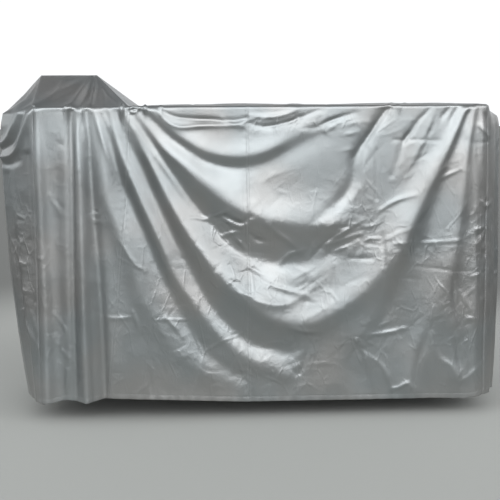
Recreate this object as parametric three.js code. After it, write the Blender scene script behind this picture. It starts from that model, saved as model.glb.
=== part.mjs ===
// A loose fitted cover of silver coated cloth for a long wheeled heater or cart.
// Six sewn panels hang as one thin sheet from a flat top with a raised hood at its left end.
// X runs along the length, Y to the back, Z up. The origin is under the middle of the top.
import * as THREE from 'three';

// Driving sizes, in millimetres
const LENGTH = 2250;
const DEPTH = 900;
const THICKNESS = 2;
const HEM_THICKNESS = 3;
const SEAM_GAP = 0.3;
const HOOD_RISE = 160;
const RIDGE_LEFT = -1117;
const RIDGE_RIGHT = -831;
const HOOD_FOOT_FRONT = -658;
const HOOD_FOOT_BACK = -625;
const MIDDLE_SEAM = -80;
const EDGE_RADIUS = 14;
const CORNER_RADIUS = 32;
const TOP_LEVEL = THICKNESS;
const DROP = 1470;
const HEM_BAND_LEVEL = -1380;
const FLARE_LEVEL = -30;
const FLARE_BULGE = 8;
const SLOPE_SAG = 8;
const GUSSET_SAG = 5;
const TOP_LIFT = 5;

// How finely each part of the cover is divided
const FRONT_ROWS = 38;
const BACK_ROWS = 18;
const SLOPE_ROWS = 5;
const GUSSET_STEPS = 4;
const FRONT_CELL = 38;
const PLEAT_CELL = 26;
const TOP_CELL = 90;
const SLOPE_CELL = 48;
const BACK_CELL = 63;

const HALF_LENGTH = LENGTH / 2;
const HALF_DEPTH = DEPTH / 2;
const LEFT = -HALF_LENGTH;
const RIGHT = HALF_LENGTH;
const TURN_BACK = HALF_LENGTH + DEPTH;

// How far in and down the middle of a rounded edge lies
const ROUND_INSET = EDGE_RADIUS * (1 - Math.SQRT1_2);

// Round the walls, u is the distance along the top edge: x on the front, then on past the right
// end to the back, and below LEFT along the left end. z is the height.

// Hem height round the cover
const HEM = [
  { u: -2025, z: -1466 },
  { u: -1600, z: -1460 },
  { u: -1290, z: -1462 },
  { u: -1125, z: -1466 },
  { u: -1050, z: -1460 },
  { u: -986, z: -1446 },
  { u: -893, z: -1458 },
  { u: -779, z: -1442 },
  { u: -555, z: -1452 },
  { u: -326, z: -1462 },
  { u: -110, z: -1472 },
  { u: 433, z: -1474 },
  { u: 848, z: -1474 },
  { u: 1024, z: -1480 },
  { u: 1125, z: -1468 },
  { u: 1400, z: -1462 },
  { u: 2025, z: -1468 },
  { u: 2700, z: -1460 },
  { u: 3500, z: -1470 },
  { u: 4275, z: -1466 },
];

// The seam between the hood strip and the middle strip leans to the left on its way down
const HOOD_SEAM = [
  { z: 0, x: -658 },
  { z: -210, x: -663 },
  { z: -455, x: -675 },
  { z: -650, x: -695 },
  { z: -970, x: -724 },
  { z: -1220, x: -753 },
  { z: -1480, x: -781 },
];

// How far each end stands out past the top edge, where it hangs over a bar near the top
const LEFT_SWELL = [
  { z: 0, out: 140 },
  { z: -30, out: 156 },
  { z: -90, out: 168 },
  { z: -280, out: 167 },
  { z: -460, out: 155 },
  { z: -800, out: 132 },
  { z: -1140, out: 97 },
  { z: -1350, out: 68 },
  { z: -1480, out: 46 },
];
const RIGHT_SWELL = [
  { z: 0, out: 0 },
  { z: -25, out: 30 },
  { z: -58, out: 80 },
  { z: -95, out: 88 },
  { z: -950, out: 84 },
  { z: -1220, out: 74 },
  { z: -1480, out: 57 },
];
const END_RAMP = 150;

// Over how much of the height the folds begin
const FOLD_START = 22;

// Over how much of the width from a corner the front's and the back's bow begins
const BOW_START = 160;
const BOW_START_RIGHT = 70;

// How far the front and the back bow out between their folds
const FRONT_SWELL = [
  { z: 0, out: 0 },
  { z: -60, out: 8 },
  { z: -280, out: 24 },
  { z: -700, out: 34 },
  { z: -1000, out: 35 },
  { z: -1250, out: 28 },
  { z: -1480, out: 18 },
];

// Folds of the walls. path is [u, z] from its start, rise the height over the cloth at the start,
// middle and end, left and right the half widths on either hand of one who walks the path.
// round runs from 1, creased, to 2.5, broad. spread is the width at the start as a share of the
// width from the middle on, and peak the share of the way at which the middle rise is reached.
const FOLD_COLUMNS = ['path', 'rise', 'left', 'right', 'round', 'spread', 'peak'];
const SWAG_LOWEST = 250;
const SWAG_FOLDS = table(FOLD_COLUMNS, [
  [[[-806, -6], [-780, -280], [-765, -450], [-715, -600], [-655, -750], [-595, -950], [-535, -1075],
    [-445, -1200], [-300, -1330]], [3, 19, 6], 60, 52, 1.8, 0.35, 0.35],
  [[[-778, -8], [-745, -190], [-708, -355], [-660, -455], [-600, -600], [-540, -750], [-450, -950],
    [-370, -1100], [-265, -1240], [-125, -1340]], [-3, -16, -8], 34, 40, 1.9, 0.4, 0.35],
  [[[-752, -6], [-702, -200], [-645, -355], [-570, -530], [-505, -675], [-430, -850], [-360, -950],
    [-250, -1105], [-80, -1260], [100, -1340]], [3, 20, 8], 42, 38, 1.9, 0.35, 0.35],
  [[[-722, -6], [-677, -135], [-605, -285], [-535, -455], [-465, -605], [-395, -750], [-285, -955],
    [-205, -1055], [-75, -1165], [125, -1225]], [-3, -19, -12], 46, 44, 1.9, 0.4, 0.35],
  [[[-690, -5], [-620, -140], [-550, -285], [-470, -455], [-385, -605], [-280, -755], [-200, -855],
    [-90, -955], [50, -1050], [215, -1075], [430, -965], [605, -775], [735, -610]],
    [3, 42, 9], 100, 62, 1.8, 0.25],
  [[[-665, -5], [-575, -140], [-485, -285], [-355, -455], [-295, -530], [-220, -630], [-145, -705],
    [-10, -760], [200, -765], [325, -720]], [-3, -35, -14], 92, 64, 1.8, 0.25],
  [[[-640, -5], [-555, -115], [-485, -210], [-405, -285], [-330, -365], [-210, -460], [-70, -530],
    [100, -570], [325, -585]], [3, 34, 20], 100, 78, 1.7, 0.25],
  [[[-615, -10], [-540, -70], [-470, -140], [-380, -210], [-275, -270], [-145, -295], [-10, -280],
    [130, -215], [275, -145]], [-6, -12, -3], 34, 60, 1.8, 0.6],
  [[[-570, -10], [-495, -75], [-420, -135], [-295, -215], [-145, -250], [-10, -230], [150, -145],
    [275, -90]], [5, 10, 3], 56, 34],
  [[[-122, -925], [28, -972], [100, -976], [200, -930]], [4, 14, 4], 50, 28, 1.4],
]);
const RIGHT_FOLDS = table(FOLD_COLUMNS, [
  [[[1020, -6], [993, -40], [966, -100], [918, -200], [869, -295], [805, -420], [741, -545], [677, -690],
    [603, -865], [549, -995], [489, -1120]], [6, 25, 14], 54, 96, 2, 0.45, 0.55],
  [[[1050, -6], [1043, -40], [1034, -100], [1013, -200], [997, -295], [986, -420], [968, -545], [950, -695],
    [922, -870], [929, -1000], [947, -1125], [985, -1340]], [5, 21, 10], 42, 80, 2, 0.5, 0.45],
  [[[910, -800], [860, -980], [807, -1150], [735, -1405]], [2, 12, 12], 60, 60],
  [[[616, -6], [529, -133], [459, -260], [434, -382], [360, -482], [250, -565]], [-6, -11, -4], 26, 34],
  [[[831, -1092], [805, -1178], [780, -1253], [757, -1400]], [-4, -9, -4], 24, 24],
]);
const CORNER_FOLDS = table(FOLD_COLUMNS, [
  [[[-1106, -6], [-1102, -300], [-1096, -650], [-1088, -950], [-1086, -1500]],
    [3, 18, 22], 36, 24, 2.2, 0.7, 0.25],
  [[[-1004, -6], [-1008, -450], [-1008, -950], [-1000, -1500]], [-2, -12, -16], 38, 44, 2, 1, 0.3],
  [[[-902, -4], [-897, -450], [-894, -950], [-884, -1500]], [4, 22, 32], 32, 28, 2.2, 0.5, 0.25],
  [[[-860, -4], [-840, -420], [-810, -950], [-798, -1500]], [-4, -15, -20], 26, 26, 2, 0.5, 0.25],
]);
const END_FOLDS = table(FOLD_COLUMNS, [
  [[[-1210, -300], [-1200, -700], [-1182, -1100], [-1168, -1450]], [6, 12, 6], 20, 22],
  [[[-1330, -150], [-1345, -700], [-1350, -1500]], [3, 20, 26], 60, 60],
  [[[-1600, -120], [-1590, -800], [-1605, -1500]], [-2, -12, -24], 70, 80],
  [[[-1820, -120], [-1835, -800], [-1820, -1500]], [3, 18, 24], 60, 60],
  [[[1290, -150], [1300, -800], [1296, -1500]], [3, 16, 24], 55, 60],
  [[[1560, -120], [1545, -800], [1560, -1500]], [-3, -20, -26], 80, 70],
  [[[1830, -150], [1840, -800], [1830, -1500]], [3, 16, 22], 60, 60],
]);
const BACK_FOLDS = table(FOLD_COLUMNS, [
  [[[2120, -30], [2140, -700], [2130, -1500]], [4, 20, 28], 50, 46],
  [[[2235, -40], [2260, -700], [2245, -1500]], [-3, -14, -20], 44, 50],
  [[[2330, -20], [2370, -420], [2470, -760], [2640, -1010], [2880, -1120], [3130, -1060], [3330, -880]],
    [4, 34, 8], 100, 66, 1.8, 0.5, 0.35],
  [[[2300, -60], [2330, -520], [2430, -900], [2600, -1160], [2860, -1290], [3140, -1260]],
    [-3, -18, -6], 60, 60, 1.8, 0.6, 0.35],
  [[[2440, -20], [2520, -330], [2660, -570], [2860, -710], [3080, -700], [3300, -540], [3480, -300]],
    [4, 36, 8], 100, 62, 1.8, 0.5, 0.35],
  [[[2390, -40], [2450, -400], [2590, -700], [2830, -890], [3090, -880], [3330, -690]],
    [-3, -20, -6], 54, 56, 1.8, 0.6, 0.35],
  [[[2600, -16], [2700, -200], [2860, -340], [3040, -370], [3220, -260], [3360, -90]],
    [4, 24, 6], 76, 50, 1.8, 0.5, 0.4],
  [[[3620, -20], [3590, -420], [3500, -740], [3380, -960], [3230, -1130]], [4, 26, 8], 60, 74, 1.8, 0.5, 0.4],
  [[[3690, -30], [3680, -500], [3620, -900], [3560, -1200], [3540, -1500]], [-3, -16, -18], 50, 50],
  [[[3780, -20], [3800, -700], [3770, -1500]], [4, 22, 30], 46, 50],
  [[[3880, -40], [3900, -700], [3890, -1500]], [-3, -16, -22], 44, 44],
  [[[3975, -20], [3990, -700], [3980, -1500]], [4, 22, 28], 44, 46],
  [[[4150, -20], [4160, -700], [4150, -1500]], [3, 16, 24], 46, 50],
  [[[2700, -1200], [2690, -1500]], [0, 12, 22], 60, 60],
  [[[2860, -1330], [2855, -1500]], [0, -8, -14], 50, 50],
  [[[3010, -1320], [3020, -1500]], [0, 10, 20], 70, 60],
]);
const WALL_FOLDS = [...SWAG_FOLDS, ...RIGHT_FOLDS, ...CORNER_FOLDS, ...END_FOLDS, ...BACK_FOLDS];

// Creases of the hood's front slope, with path as [x, share of the way up to the ridge]
const HOOD_CREASES = table(FOLD_COLUMNS, [
  [[[-850, 0.97], [-890, 0.5], [-925, 0.02]], [3, 8, 4], 22, 22],
  [[[-835, 0.97], [-833, 0.5], [-831, 0.02]], [3, 7, 4], 18, 18],
  [[[-870, 0.9], [-980, 0.5], [-1090, 0.1]], [-2, -8, -4], 26, 26],
]);

// Rows of a table as objects, with each column's name as the key
function table(columns, rows) {
  return rows.map((row) => Object.fromEntries(columns.map((name, i) => [name, row[i]])));
}

// Value of a named column at a place between two rows of a table
function between(rows, key, at, value) {
  const sorted = [...rows].sort((a, b) => a[key] - b[key]);
  const last = sorted[sorted.length - 1];
  if (at <= sorted[0][key]) return sorted[0][value];
  if (at >= last[key]) return last[value];
  const i = sorted.findIndex((row) => row[key] > at);
  const low = sorted[i - 1];
  const high = sorted[i];
  return THREE.MathUtils.mapLinear(at, low[key], high[key], low[value], high[value]);
}

function smooth(x, from, to) {
  const t = THREE.MathUtils.clamp((x - from) / (to - from), 0, 1);
  return t * t * (3 - 2 * t);
}

// A soft crest or trough along a smooth curve through the row's path
class Fold {
  static STEPS = 28;

  constructor(row, scaleV = 1) {
    this.row = row;
    const points = row.path.map(([a, b]) => new THREE.Vector3(a, b * scaleV, 0));
    const curve = new THREE.CatmullRomCurve3(points, false, 'centripetal');
    this.line = curve.getSpacedPoints(Fold.STEPS);
    const reach = 2.6 * Math.max(row.left, row.right);
    this.box = new THREE.Box3().setFromPoints(this.line).expandByScalar(reach);
  }

  heightAt(a, b) {
    const { box, line } = this;
    const { rise, left, right, round = 1.8, spread = 1, peak = 0.5 } = this.row;
    if (a < box.min.x || a > box.max.x || b < box.min.y || b > box.max.y) return 0;
    let nearest = Infinity;
    let along = 0;
    let side = 0;
    for (let i = 0; i < line.length - 1; i += 1) {
      const dx = line[i + 1].x - line[i].x;
      const dy = line[i + 1].y - line[i].y;
      const px = a - line[i].x;
      const py = b - line[i].y;
      const t = THREE.MathUtils.clamp((px * dx + py * dy) / (dx * dx + dy * dy), 0, 1);
      const distance = Math.hypot(px - t * dx, py - t * dy);
      if (distance < nearest) {
        nearest = distance;
        along = (i + t) / (line.length - 1);
        side = dx * py - dy * px;
      }
    }
    const width = (side > 0 ? left : right) * THREE.MathUtils.lerp(spread, 1, smooth(along, 0, peak));
    const [start, middle, end] = rise;
    const height = along < peak
      ? THREE.MathUtils.lerp(start, middle, smooth(along, 0, peak))
      : THREE.MathUtils.lerp(middle, end, smooth(along, peak, 1));
    return height * Math.exp(-((nearest / width) ** round));
  }
}

const wallFolds = WALL_FOLDS.map((row) => new Fold(row));
const hoodCreases = HOOD_CREASES.map((row) => new Fold(row, HALF_DEPTH));

// Footprint of the top edge at u, with rounded corners, and its outward direction
function footprint(u) {
  const corners = [
    { u: LEFT, x: LEFT, y: -HALF_DEPTH, from: Math.PI },
    { u: RIGHT, x: RIGHT, y: -HALF_DEPTH, from: 1.5 * Math.PI },
    { u: TURN_BACK, x: RIGHT, y: HALF_DEPTH, from: 0 },
    { u: -TURN_BACK, x: LEFT, y: HALF_DEPTH, from: 0.5 * Math.PI },
    { u: TURN_BACK + LENGTH, x: LEFT, y: HALF_DEPTH, from: 0.5 * Math.PI },
  ];
  const corner = corners.find((c) => Math.abs(u - c.u) < CORNER_RADIUS);
  if (corner) {
    const turn = (u - corner.u + CORNER_RADIUS) / (2 * CORNER_RADIUS);
    const angle = corner.from + turn * 0.5 * Math.PI;
    const n = new THREE.Vector2(Math.cos(angle), Math.sin(angle));
    const cx = corner.x - Math.sign(corner.x) * CORNER_RADIUS;
    const cy = corner.y - Math.sign(corner.y) * CORNER_RADIUS;
    return { x: cx + n.x * CORNER_RADIUS, y: cy + n.y * CORNER_RADIUS, n };
  }
  if (u < LEFT) return { x: LEFT, y: -HALF_DEPTH + (LEFT - u), n: new THREE.Vector2(-1, 0) };
  if (u <= RIGHT) return { x: u, y: -HALF_DEPTH, n: new THREE.Vector2(0, -1) };
  if (u < TURN_BACK) return { x: RIGHT, y: -HALF_DEPTH + (u - RIGHT), n: new THREE.Vector2(1, 0) };
  return { x: RIGHT - (u - TURN_BACK), y: HALF_DEPTH, n: new THREE.Vector2(0, 1) };
}

// Height of the gable edge over the left end, and its place along X
function gable(y) {
  const share = 1 - Math.min(1, Math.abs(y) / (HALF_DEPTH - EDGE_RADIUS));
  return {
    z: TOP_LEVEL + HOOD_RISE * share,
    x: THREE.MathUtils.lerp(LEFT + 0.3 * EDGE_RADIUS, RIDGE_LEFT, share),
  };
}

// How far the cloth stands out from the footprint at u and z
function standOut(u, z) {
  let out = 0;
  for (const fold of wallFolds) out += fold.heightAt(u, z);
  out *= smooth(-z, 0, FOLD_START);
  const plateau = (from, to, ramp) => Math.min(1, Math.max(0, Math.min(u - from, to - u) / ramp));
  if (u < LEFT) {
    const top = gable(-HALF_DEPTH + (LEFT - u)).z;
    const fade = z > FLARE_LEVEL ? THREE.MathUtils.clamp((top - z) / (top - FLARE_LEVEL), 0, 1) : 1;
    out += between(LEFT_SWELL, 'z', Math.min(z, 0), 'out') * fade * plateau(-TURN_BACK, LEFT, END_RAMP);
  } else if (u > RIGHT && u < TURN_BACK) {
    out += between(RIGHT_SWELL, 'z', z, 'out') * plateau(RIGHT, TURN_BACK, END_RAMP);
  } else {
    const edge = u <= RIGHT ? Math.min(u - LEFT, RIGHT - u) : Math.min(u - TURN_BACK, TURN_BACK + LENGTH - u);
    const start = u > 0 && u <= RIGHT ? BOW_START_RIGHT : BOW_START;
    out += between(FRONT_SWELL, 'z', z, 'out') * smooth(edge, 0, start);
  }
  return out;
}

function wallPoint(u, z) {
  const foot = footprint(u);
  const rise = THREE.MathUtils.clamp(z - TOP_LEVEL + EDGE_RADIUS, 0, EDGE_RADIUS);
  const inset = EDGE_RADIUS - Math.sqrt(EDGE_RADIUS ** 2 - rise ** 2);
  const out = standOut(u, Math.min(z, 0)) - inset;
  return new THREE.Vector3(foot.x + foot.n.x * out, foot.y + foot.n.y * out, z);
}

// The flat top, a little uneven between the edges
function topPoint(x, y) {
  const toEdge = Math.min(HALF_DEPTH - Math.abs(y), RIGHT - x, x - HOOD_FOOT_BACK);
  const past = THREE.MathUtils.clamp(x - (RIGHT - EDGE_RADIUS), 0, EDGE_RADIUS);
  const drop = EDGE_RADIUS - Math.sqrt(EDGE_RADIUS ** 2 - past ** 2);
  const wave = Math.sin(x / 210 + y / 160) * Math.sin(x / 330 - y / 120 + 0.6);
  const lift = TOP_LIFT * wave * wave * smooth(toEdge, 0, BOW_START) * smooth(Math.hypot(x, y), 90, 260);
  return new THREE.Vector3(x, y, TOP_LEVEL + lift - drop);
}

function slopePoint(x, y) {
  const run = HALF_DEPTH - EDGE_RADIUS;
  const share = 1 - Math.min(1, Math.abs(y) / run);
  let lift = -SLOPE_SAG * Math.sin(Math.PI * share) * smooth(x, LEFT, LEFT + BOW_START);
  if (y < 0) {
    for (const crease of hoodCreases) lift += crease.heightAt(x, share * HALF_DEPTH);
  }
  const calm = smooth(share, 0, 0.12) * smooth(1 - share, 0, 0.1);
  return new THREE.Vector3(x, y, TOP_LEVEL + HOOD_RISE * share + lift * calm);
}

// Every node of the sheet, shared by the panels that meet in it
const nodes = [];

function node(point) {
  nodes.push(point);
  return nodes.length - 1;
}

// Rows of a strip: up the front, over the top and down the back
const TOP_ROWS = 2 * SLOPE_ROWS;
const rowsUp = Array.from({ length: FRONT_ROWS + 1 }, (_, i) => ({ part: 'front', t: i / FRONT_ROWS }));
const rowsOver = Array.from({ length: TOP_ROWS + 1 }, (_, i) => ({ part: 'top', t: i / TOP_ROWS }));
const rowsDown = Array.from({ length: BACK_ROWS + 1 }, (_, i) => ({ part: 'back', t: 1 - i / BACK_ROWS }));
const STRIP_ROWS = [
  ...rowsUp,
  { part: 'front', t: 1, round: true },
  ...rowsOver,
  { part: 'back', t: 1, round: true },
  ...rowsDown,
];

function wallHeight(u, row) {
  const eave = TOP_LEVEL - EDGE_RADIUS;
  if (row.round) return TOP_LEVEL - ROUND_INSET;
  return THREE.MathUtils.lerp(between(HEM, 'u', u, 'z'), eave, row.t);
}

// x of each long seam and of the right edge on a row
const edges = {
  hoodSeam(row) {
    if (row.part === 'front') return between(HOOD_SEAM, 'z', -DROP * (1 - row.t), 'x');
    if (row.part === 'back') return HOOD_FOOT_BACK;
    return THREE.MathUtils.lerp(HOOD_FOOT_FRONT, HOOD_FOOT_BACK, row.t);
  },
  middleSeam: () => MIDDLE_SEAM,
  rightCorner: (row) => (row.part === 'top' ? RIGHT - ROUND_INSET : RIGHT),
};

function rowY(row) {
  return (2 * row.t - 1) * (HALF_DEPTH - EDGE_RADIUS);
}

// x of the hip edge, where the hood strip's slopes end, at a row over the top
function hipX(row) {
  const foot = row.t < 0.5 ? HOOD_FOOT_FRONT : HOOD_FOOT_BACK;
  return THREE.MathUtils.lerp(foot, RIDGE_RIGHT, 1 - Math.abs(2 * row.t - 1));
}

function stripNode(row, x, sloped) {
  if (row.part === 'top') return node(sloped ? slopePoint(x, rowY(row)) : topPoint(x, rowY(row)));
  const u = row.part === 'front' ? x : TURN_BACK + (RIGHT - x);
  return node(wallPoint(u, wallHeight(u, row)));
}

function seamLine(edge) {
  return STRIP_ROWS.map((row) => stripNode(row, edge(row), false));
}

const seamLines = {
  left: STRIP_ROWS.map((row) => {
    if (row.part !== 'top') return stripNode(row, LEFT, false);
    const edge = gable(rowY(row));
    return node(new THREE.Vector3(edge.x, rowY(row), edge.z));
  }),
  hoodSeam: seamLine(edges.hoodSeam),
  middleSeam: seamLine(edges.middleSeam),
  right: seamLine(edges.rightCorner),
};
const isTopInside = (row) => row.part === 'top' && row.t > 0 && row.t < 1;
// At the four corners the top's outer edge starts from the corner's own node
for (const line of [seamLines.left, seamLines.right]) {
  STRIP_ROWS.forEach((row, j) => {
    if (row.part === 'top' && row.t === 0) line[j] = line[j - 1];
    if (row.part === 'top' && row.t === 1) line[j] = line[j + 1];
  });
}
seamLines.hip = STRIP_ROWS.map((row, j) => {
  if (!isTopInside(row)) return seamLines.hoodSeam[j];
  const share = 1 - Math.abs(2 * row.t - 1);
  return node(new THREE.Vector3(hipX(row), rowY(row), TOP_LEVEL + HOOD_RISE * share));
});

const CELLS = { front: FRONT_CELL, top: TOP_CELL, back: BACK_CELL };
const HOOD_CELLS = { front: PLEAT_CELL, top: SLOPE_CELL, back: BACK_CELL };

// Greatest width between two seam lines on the rows of one part of a strip
function widest(leftLine, rightLine, part) {
  const widths = STRIP_ROWS.map((row, j) => (
    row.part === part ? nodes[rightLine[j]].x - nodes[leftLine[j]].x : 0
  ));
  return Math.max(...widths);
}

// The outer edges of a wall lie on its rounded corners, so their place in u is the corner's
function placeOf(line, row, j) {
  if (row.part !== 'top' && line === seamLines.left) return LEFT;
  if (row.part !== 'top' && line === seamLines.right) return RIGHT;
  return nodes[line[j]].x;
}

// Lines of nodes across a strip, one for each row, between two seam lines
function stripLines(leftLine, rightLine, sloped) {
  const cells = sloped ? HOOD_CELLS : CELLS;
  return STRIP_ROWS.map((row, j) => {
    const count = Math.max(3, Math.round(widest(leftLine, rightLine, row.part) / cells[row.part]));
    const from = placeOf(leftLine, row, j);
    const to = placeOf(rightLine, row, j);
    const line = [leftLine[j]];
    for (let i = 1; i < count; i += 1) {
      line.push(stripNode(row, THREE.MathUtils.lerp(from, to, i / count), sloped));
    }
    line.push(rightLine[j]);
    return line;
  });
}

// Lines of nodes up an end panel, one below each node of its top edge
function endLines(edgeLine, sign) {
  const top = STRIP_ROWS.map((row, j) => ({ row, j })).filter(({ row }) => isTopInside(row));
  const rounds = STRIP_ROWS.map((row, j) => (row.round ? j : -1)).filter((j) => j >= 0);
  const frontEdge = edgeLine.slice(0, rounds[0] + 1);
  const backEdge = edgeLine.slice(rounds[1]).reverse();
  const inner = top.map(({ row, j }, k) => {
    const across = HALF_DEPTH + rowY(row);
    const u = sign < 0 ? LEFT - across : RIGHT + across;
    const share = (k + 1) / (top.length + 1);
    const count = Math.round(THREE.MathUtils.lerp(FRONT_ROWS * 0.8, BACK_ROWS, smooth(share, 0.1, 0.5)));
    const head = nodes[edgeLine[j]];
    const hem = between(HEM, 'u', u, 'z');
    const line = [];
    for (let i = 0; i < count; i += 1) {
      const z = THREE.MathUtils.lerp(hem, head.z - (sign < 0 ? 0 : EDGE_RADIUS * 0.7), i / (count - 0.35));
      const point = wallPoint(u, Math.min(z, TOP_LEVEL - EDGE_RADIUS));
      point.z = z;
      if (sign < 0 && z > FLARE_LEVEL) point.copy(endSlope(u, z, head));
      line.push(node(point));
    }
    line.push(edgeLine[j]);
    return line;
  });
  return [frontEdge, ...inner, backEdge];
}

// The left end's cloth runs straight from the gable edge out to where it stands widest
function endSlope(u, z, head) {
  const eave = wallPoint(u, FLARE_LEVEL);
  const share = THREE.MathUtils.clamp((z - FLARE_LEVEL) / (head.z - FLARE_LEVEL), 0, 1);
  const bulge = FLARE_BULGE * Math.sin(Math.PI * share);
  return new THREE.Vector3(THREE.MathUtils.lerp(eave.x, head.x, share) - bulge, eave.y, z);
}

// Lines of nodes across the gusset, from the hip edge down to its foot
function gussetLines() {
  return STRIP_ROWS.map((row, j) => j).filter((j) => STRIP_ROWS[j].part === 'top').map((j) => {
    const hip = nodes[seamLines.hip[j]];
    const foot = nodes[seamLines.hoodSeam[j]];
    if (seamLines.hip[j] === seamLines.hoodSeam[j]) return [seamLines.hip[j]];
    const line = [seamLines.hip[j]];
    for (let i = 1; i < GUSSET_STEPS; i += 1) {
      const share = i / GUSSET_STEPS;
      const point = hip.clone().lerp(foot, share);
      point.z -= GUSSET_SAG * Math.sin(Math.PI * share);
      line.push(node(point));
    }
    line.push(seamLines.hoodSeam[j]);
    return line;
  });
}

// Triangles between two lines of nodes. Their diagonals run along the swags, which fall to the
// right on the left of their lowest place and to the left beyond it.
function stitch(lineA, lineB) {
  const triangles = [];
  const lastA = lineA.length - 1;
  const lastB = lineB.length - 1;
  let i = 0;
  let j = 0;
  while (i < lastA || j < lastB) {
    const a = lineA[i];
    const b = lineB[j];
    const lead = (i + 1) / lastA - (j + 1) / lastB;
    const isLevel = Math.abs(lead) < 1e-6;
    if (isLevel ? nodes[a].x < SWAG_LOWEST : lead < 0) {
      triangles.push([a, lineA[i + 1], b]);
      i += 1;
    } else {
      triangles.push([a, lineB[j + 1], b]);
      j += 1;
    }
  }
  return triangles.filter((triangle) => new Set(triangle).size === 3);
}

function stitchAll(lines) {
  const triangles = [];
  for (let i = 0; i < lines.length - 1; i += 1) triangles.push(...stitch(lines[i], lines[i + 1]));
  return triangles;
}

function triangleNormal([a, b, c]) {
  const ab = nodes[b].clone().sub(nodes[a]);
  const ac = nodes[c].clone().sub(nodes[a]);
  return ab.cross(ac);
}

// Triangles turned so that the panel faces away from the inside of the cover
function facingOut(triangles) {
  const inside = new THREE.Vector3(0, 0, -700);
  let facing = 0;
  for (const triangle of triangles) {
    facing += triangleNormal(triangle).dot(nodes[triangle[0]].clone().sub(inside));
  }
  return facing > 0 ? triangles : triangles.map(([a, b, c]) => [a, c, b]);
}

const cloth = { color: 0xb4b8bc, roughness: 0.38, metalness: 0.55 };
const panels = {
  hood_strip: facingOut(stitchAll(stripLines(seamLines.left, seamLines.hip, true))),
  middle_strip: facingOut(stitchAll(stripLines(seamLines.hoodSeam, seamLines.middleSeam, false))),
  right_strip: facingOut(stitchAll(stripLines(seamLines.middleSeam, seamLines.right, false))),
  hood_gusset: facingOut(stitchAll(gussetLines())),
  left_end: facingOut(stitchAll(endLines(seamLines.left, -1))),
  right_end: facingOut(stitchAll(endLines(seamLines.right, 1))),
};

// Outward direction of the whole sheet at each node
const outward = nodes.map(() => new THREE.Vector3());
for (const triangles of Object.values(panels)) {
  for (const triangle of triangles) {
    const normal = triangleNormal(triangle).normalize();
    for (const id of triangle) outward[id].add(normal);
  }
}
outward.forEach((direction) => direction.normalize());

function isHem(id) {
  return nodes[id].z < HEM_BAND_LEVEL;
}

// Moves of a panel's edge nodes into the panel, so that its seams keep half the gap each
function edgeMoves(triangles) {
  const uses = new Map();
  for (const [a, b, c] of triangles) {
    for (const [p, q] of [[a, b], [b, c], [c, a]]) uses.set(`${p} ${q}`, [p, q]);
  }
  const rim = [...uses.values()].filter(([p, q]) => !uses.has(`${q} ${p}`));
  const sides = new Map();
  for (const [p, q] of rim) {
    const along = nodes[q].clone().sub(nodes[p]);
    const mean = outward[p].clone().add(outward[q]);
    const into = mean.cross(along).normalize();
    for (const id of [p, q]) sides.set(id, [...(sides.get(id) ?? []), into]);
  }
  const moves = new Map();
  for (const [id, [first, second]] of sides) {
    const sum = first.clone().add(second);
    moves.set(id, sum.multiplyScalar((SEAM_GAP / 2) / (1 + first.dot(second))));
  }
  return { rim, moves };
}

// A closed thin solid on the panel's triangles. Both panels at a seam cut its edge faces the same
// way, by the order of the shared nodes, so that the two faces run side by side.
function sheet(name, triangles) {
  const { rim, moves } = edgeMoves(triangles);
  const used = [...new Set(triangles.flat())];
  const index = new Map(used.map((id, i) => [id, i]));
  const outer = used.map((id) => nodes[id].clone().add(moves.get(id) ?? new THREE.Vector3()));
  const inner = used.map((id, i) => {
    const thick = isHem(id) ? HEM_THICKNESS : THICKNESS;
    return outer[i].clone().addScaledVector(outward[id], -thick);
  });
  const count = used.length;
  const faces = [];
  for (const triangle of triangles) {
    const [a, b, c] = triangle.map((id) => index.get(id));
    faces.push(a, b, c, a + count, c + count, b + count);
  }
  for (const [p, q] of rim) {
    const a = index.get(p);
    const b = index.get(q);
    if (p < q) faces.push(b, a, a + count, b, a + count, b + count);
    else faces.push(b, a, b + count, a, a + count, b + count);
  }
  const geometry = new THREE.BufferGeometry();
  const points = [...outer, ...inner].flatMap((point) => point.toArray());
  geometry.setAttribute('position', new THREE.Float32BufferAttribute(points, 3));
  geometry.setIndex(faces);
  geometry.computeVertexNormals();
  const mesh = new THREE.Mesh(geometry, new THREE.MeshStandardMaterial({ ...cloth, name: 'silver_cloth' }));
  mesh.name = name;
  return mesh;
}

const cover = new THREE.Group();
cover.name = 'heater_storage_cover';
for (const [name, triangles] of Object.entries(panels)) cover.add(sheet(name, triangles));

export default cover;
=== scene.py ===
"""Dress a loose fitted cover of silver coated cloth, panel by panel, for a long wheeled heater."""

import itertools
import logging
import math
from dataclasses import dataclass
from enum import Enum
from typing import Callable, Dict, List, Optional, Sequence, Tuple

import bpy
import numpy as np
from mathutils import Matrix, Vector


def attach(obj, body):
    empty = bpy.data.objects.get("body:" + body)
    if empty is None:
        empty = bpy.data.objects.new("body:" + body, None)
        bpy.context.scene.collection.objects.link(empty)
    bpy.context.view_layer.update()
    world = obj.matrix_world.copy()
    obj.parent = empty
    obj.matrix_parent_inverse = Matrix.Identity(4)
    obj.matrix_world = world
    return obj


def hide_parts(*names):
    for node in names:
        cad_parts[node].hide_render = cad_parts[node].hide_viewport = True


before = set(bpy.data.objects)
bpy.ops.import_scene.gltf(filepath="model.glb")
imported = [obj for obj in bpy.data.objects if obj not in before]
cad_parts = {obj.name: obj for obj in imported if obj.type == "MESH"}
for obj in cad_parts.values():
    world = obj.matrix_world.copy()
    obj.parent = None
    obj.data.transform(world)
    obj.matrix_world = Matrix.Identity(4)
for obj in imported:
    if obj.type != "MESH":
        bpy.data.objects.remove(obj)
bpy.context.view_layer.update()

LOG = logging.getLogger("cover")
MM = 0.001

Array = np.ndarray
Point = Tuple[float, float]
Colour = Tuple[float, float, float]
Socket = bpy.types.NodeSocket


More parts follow.
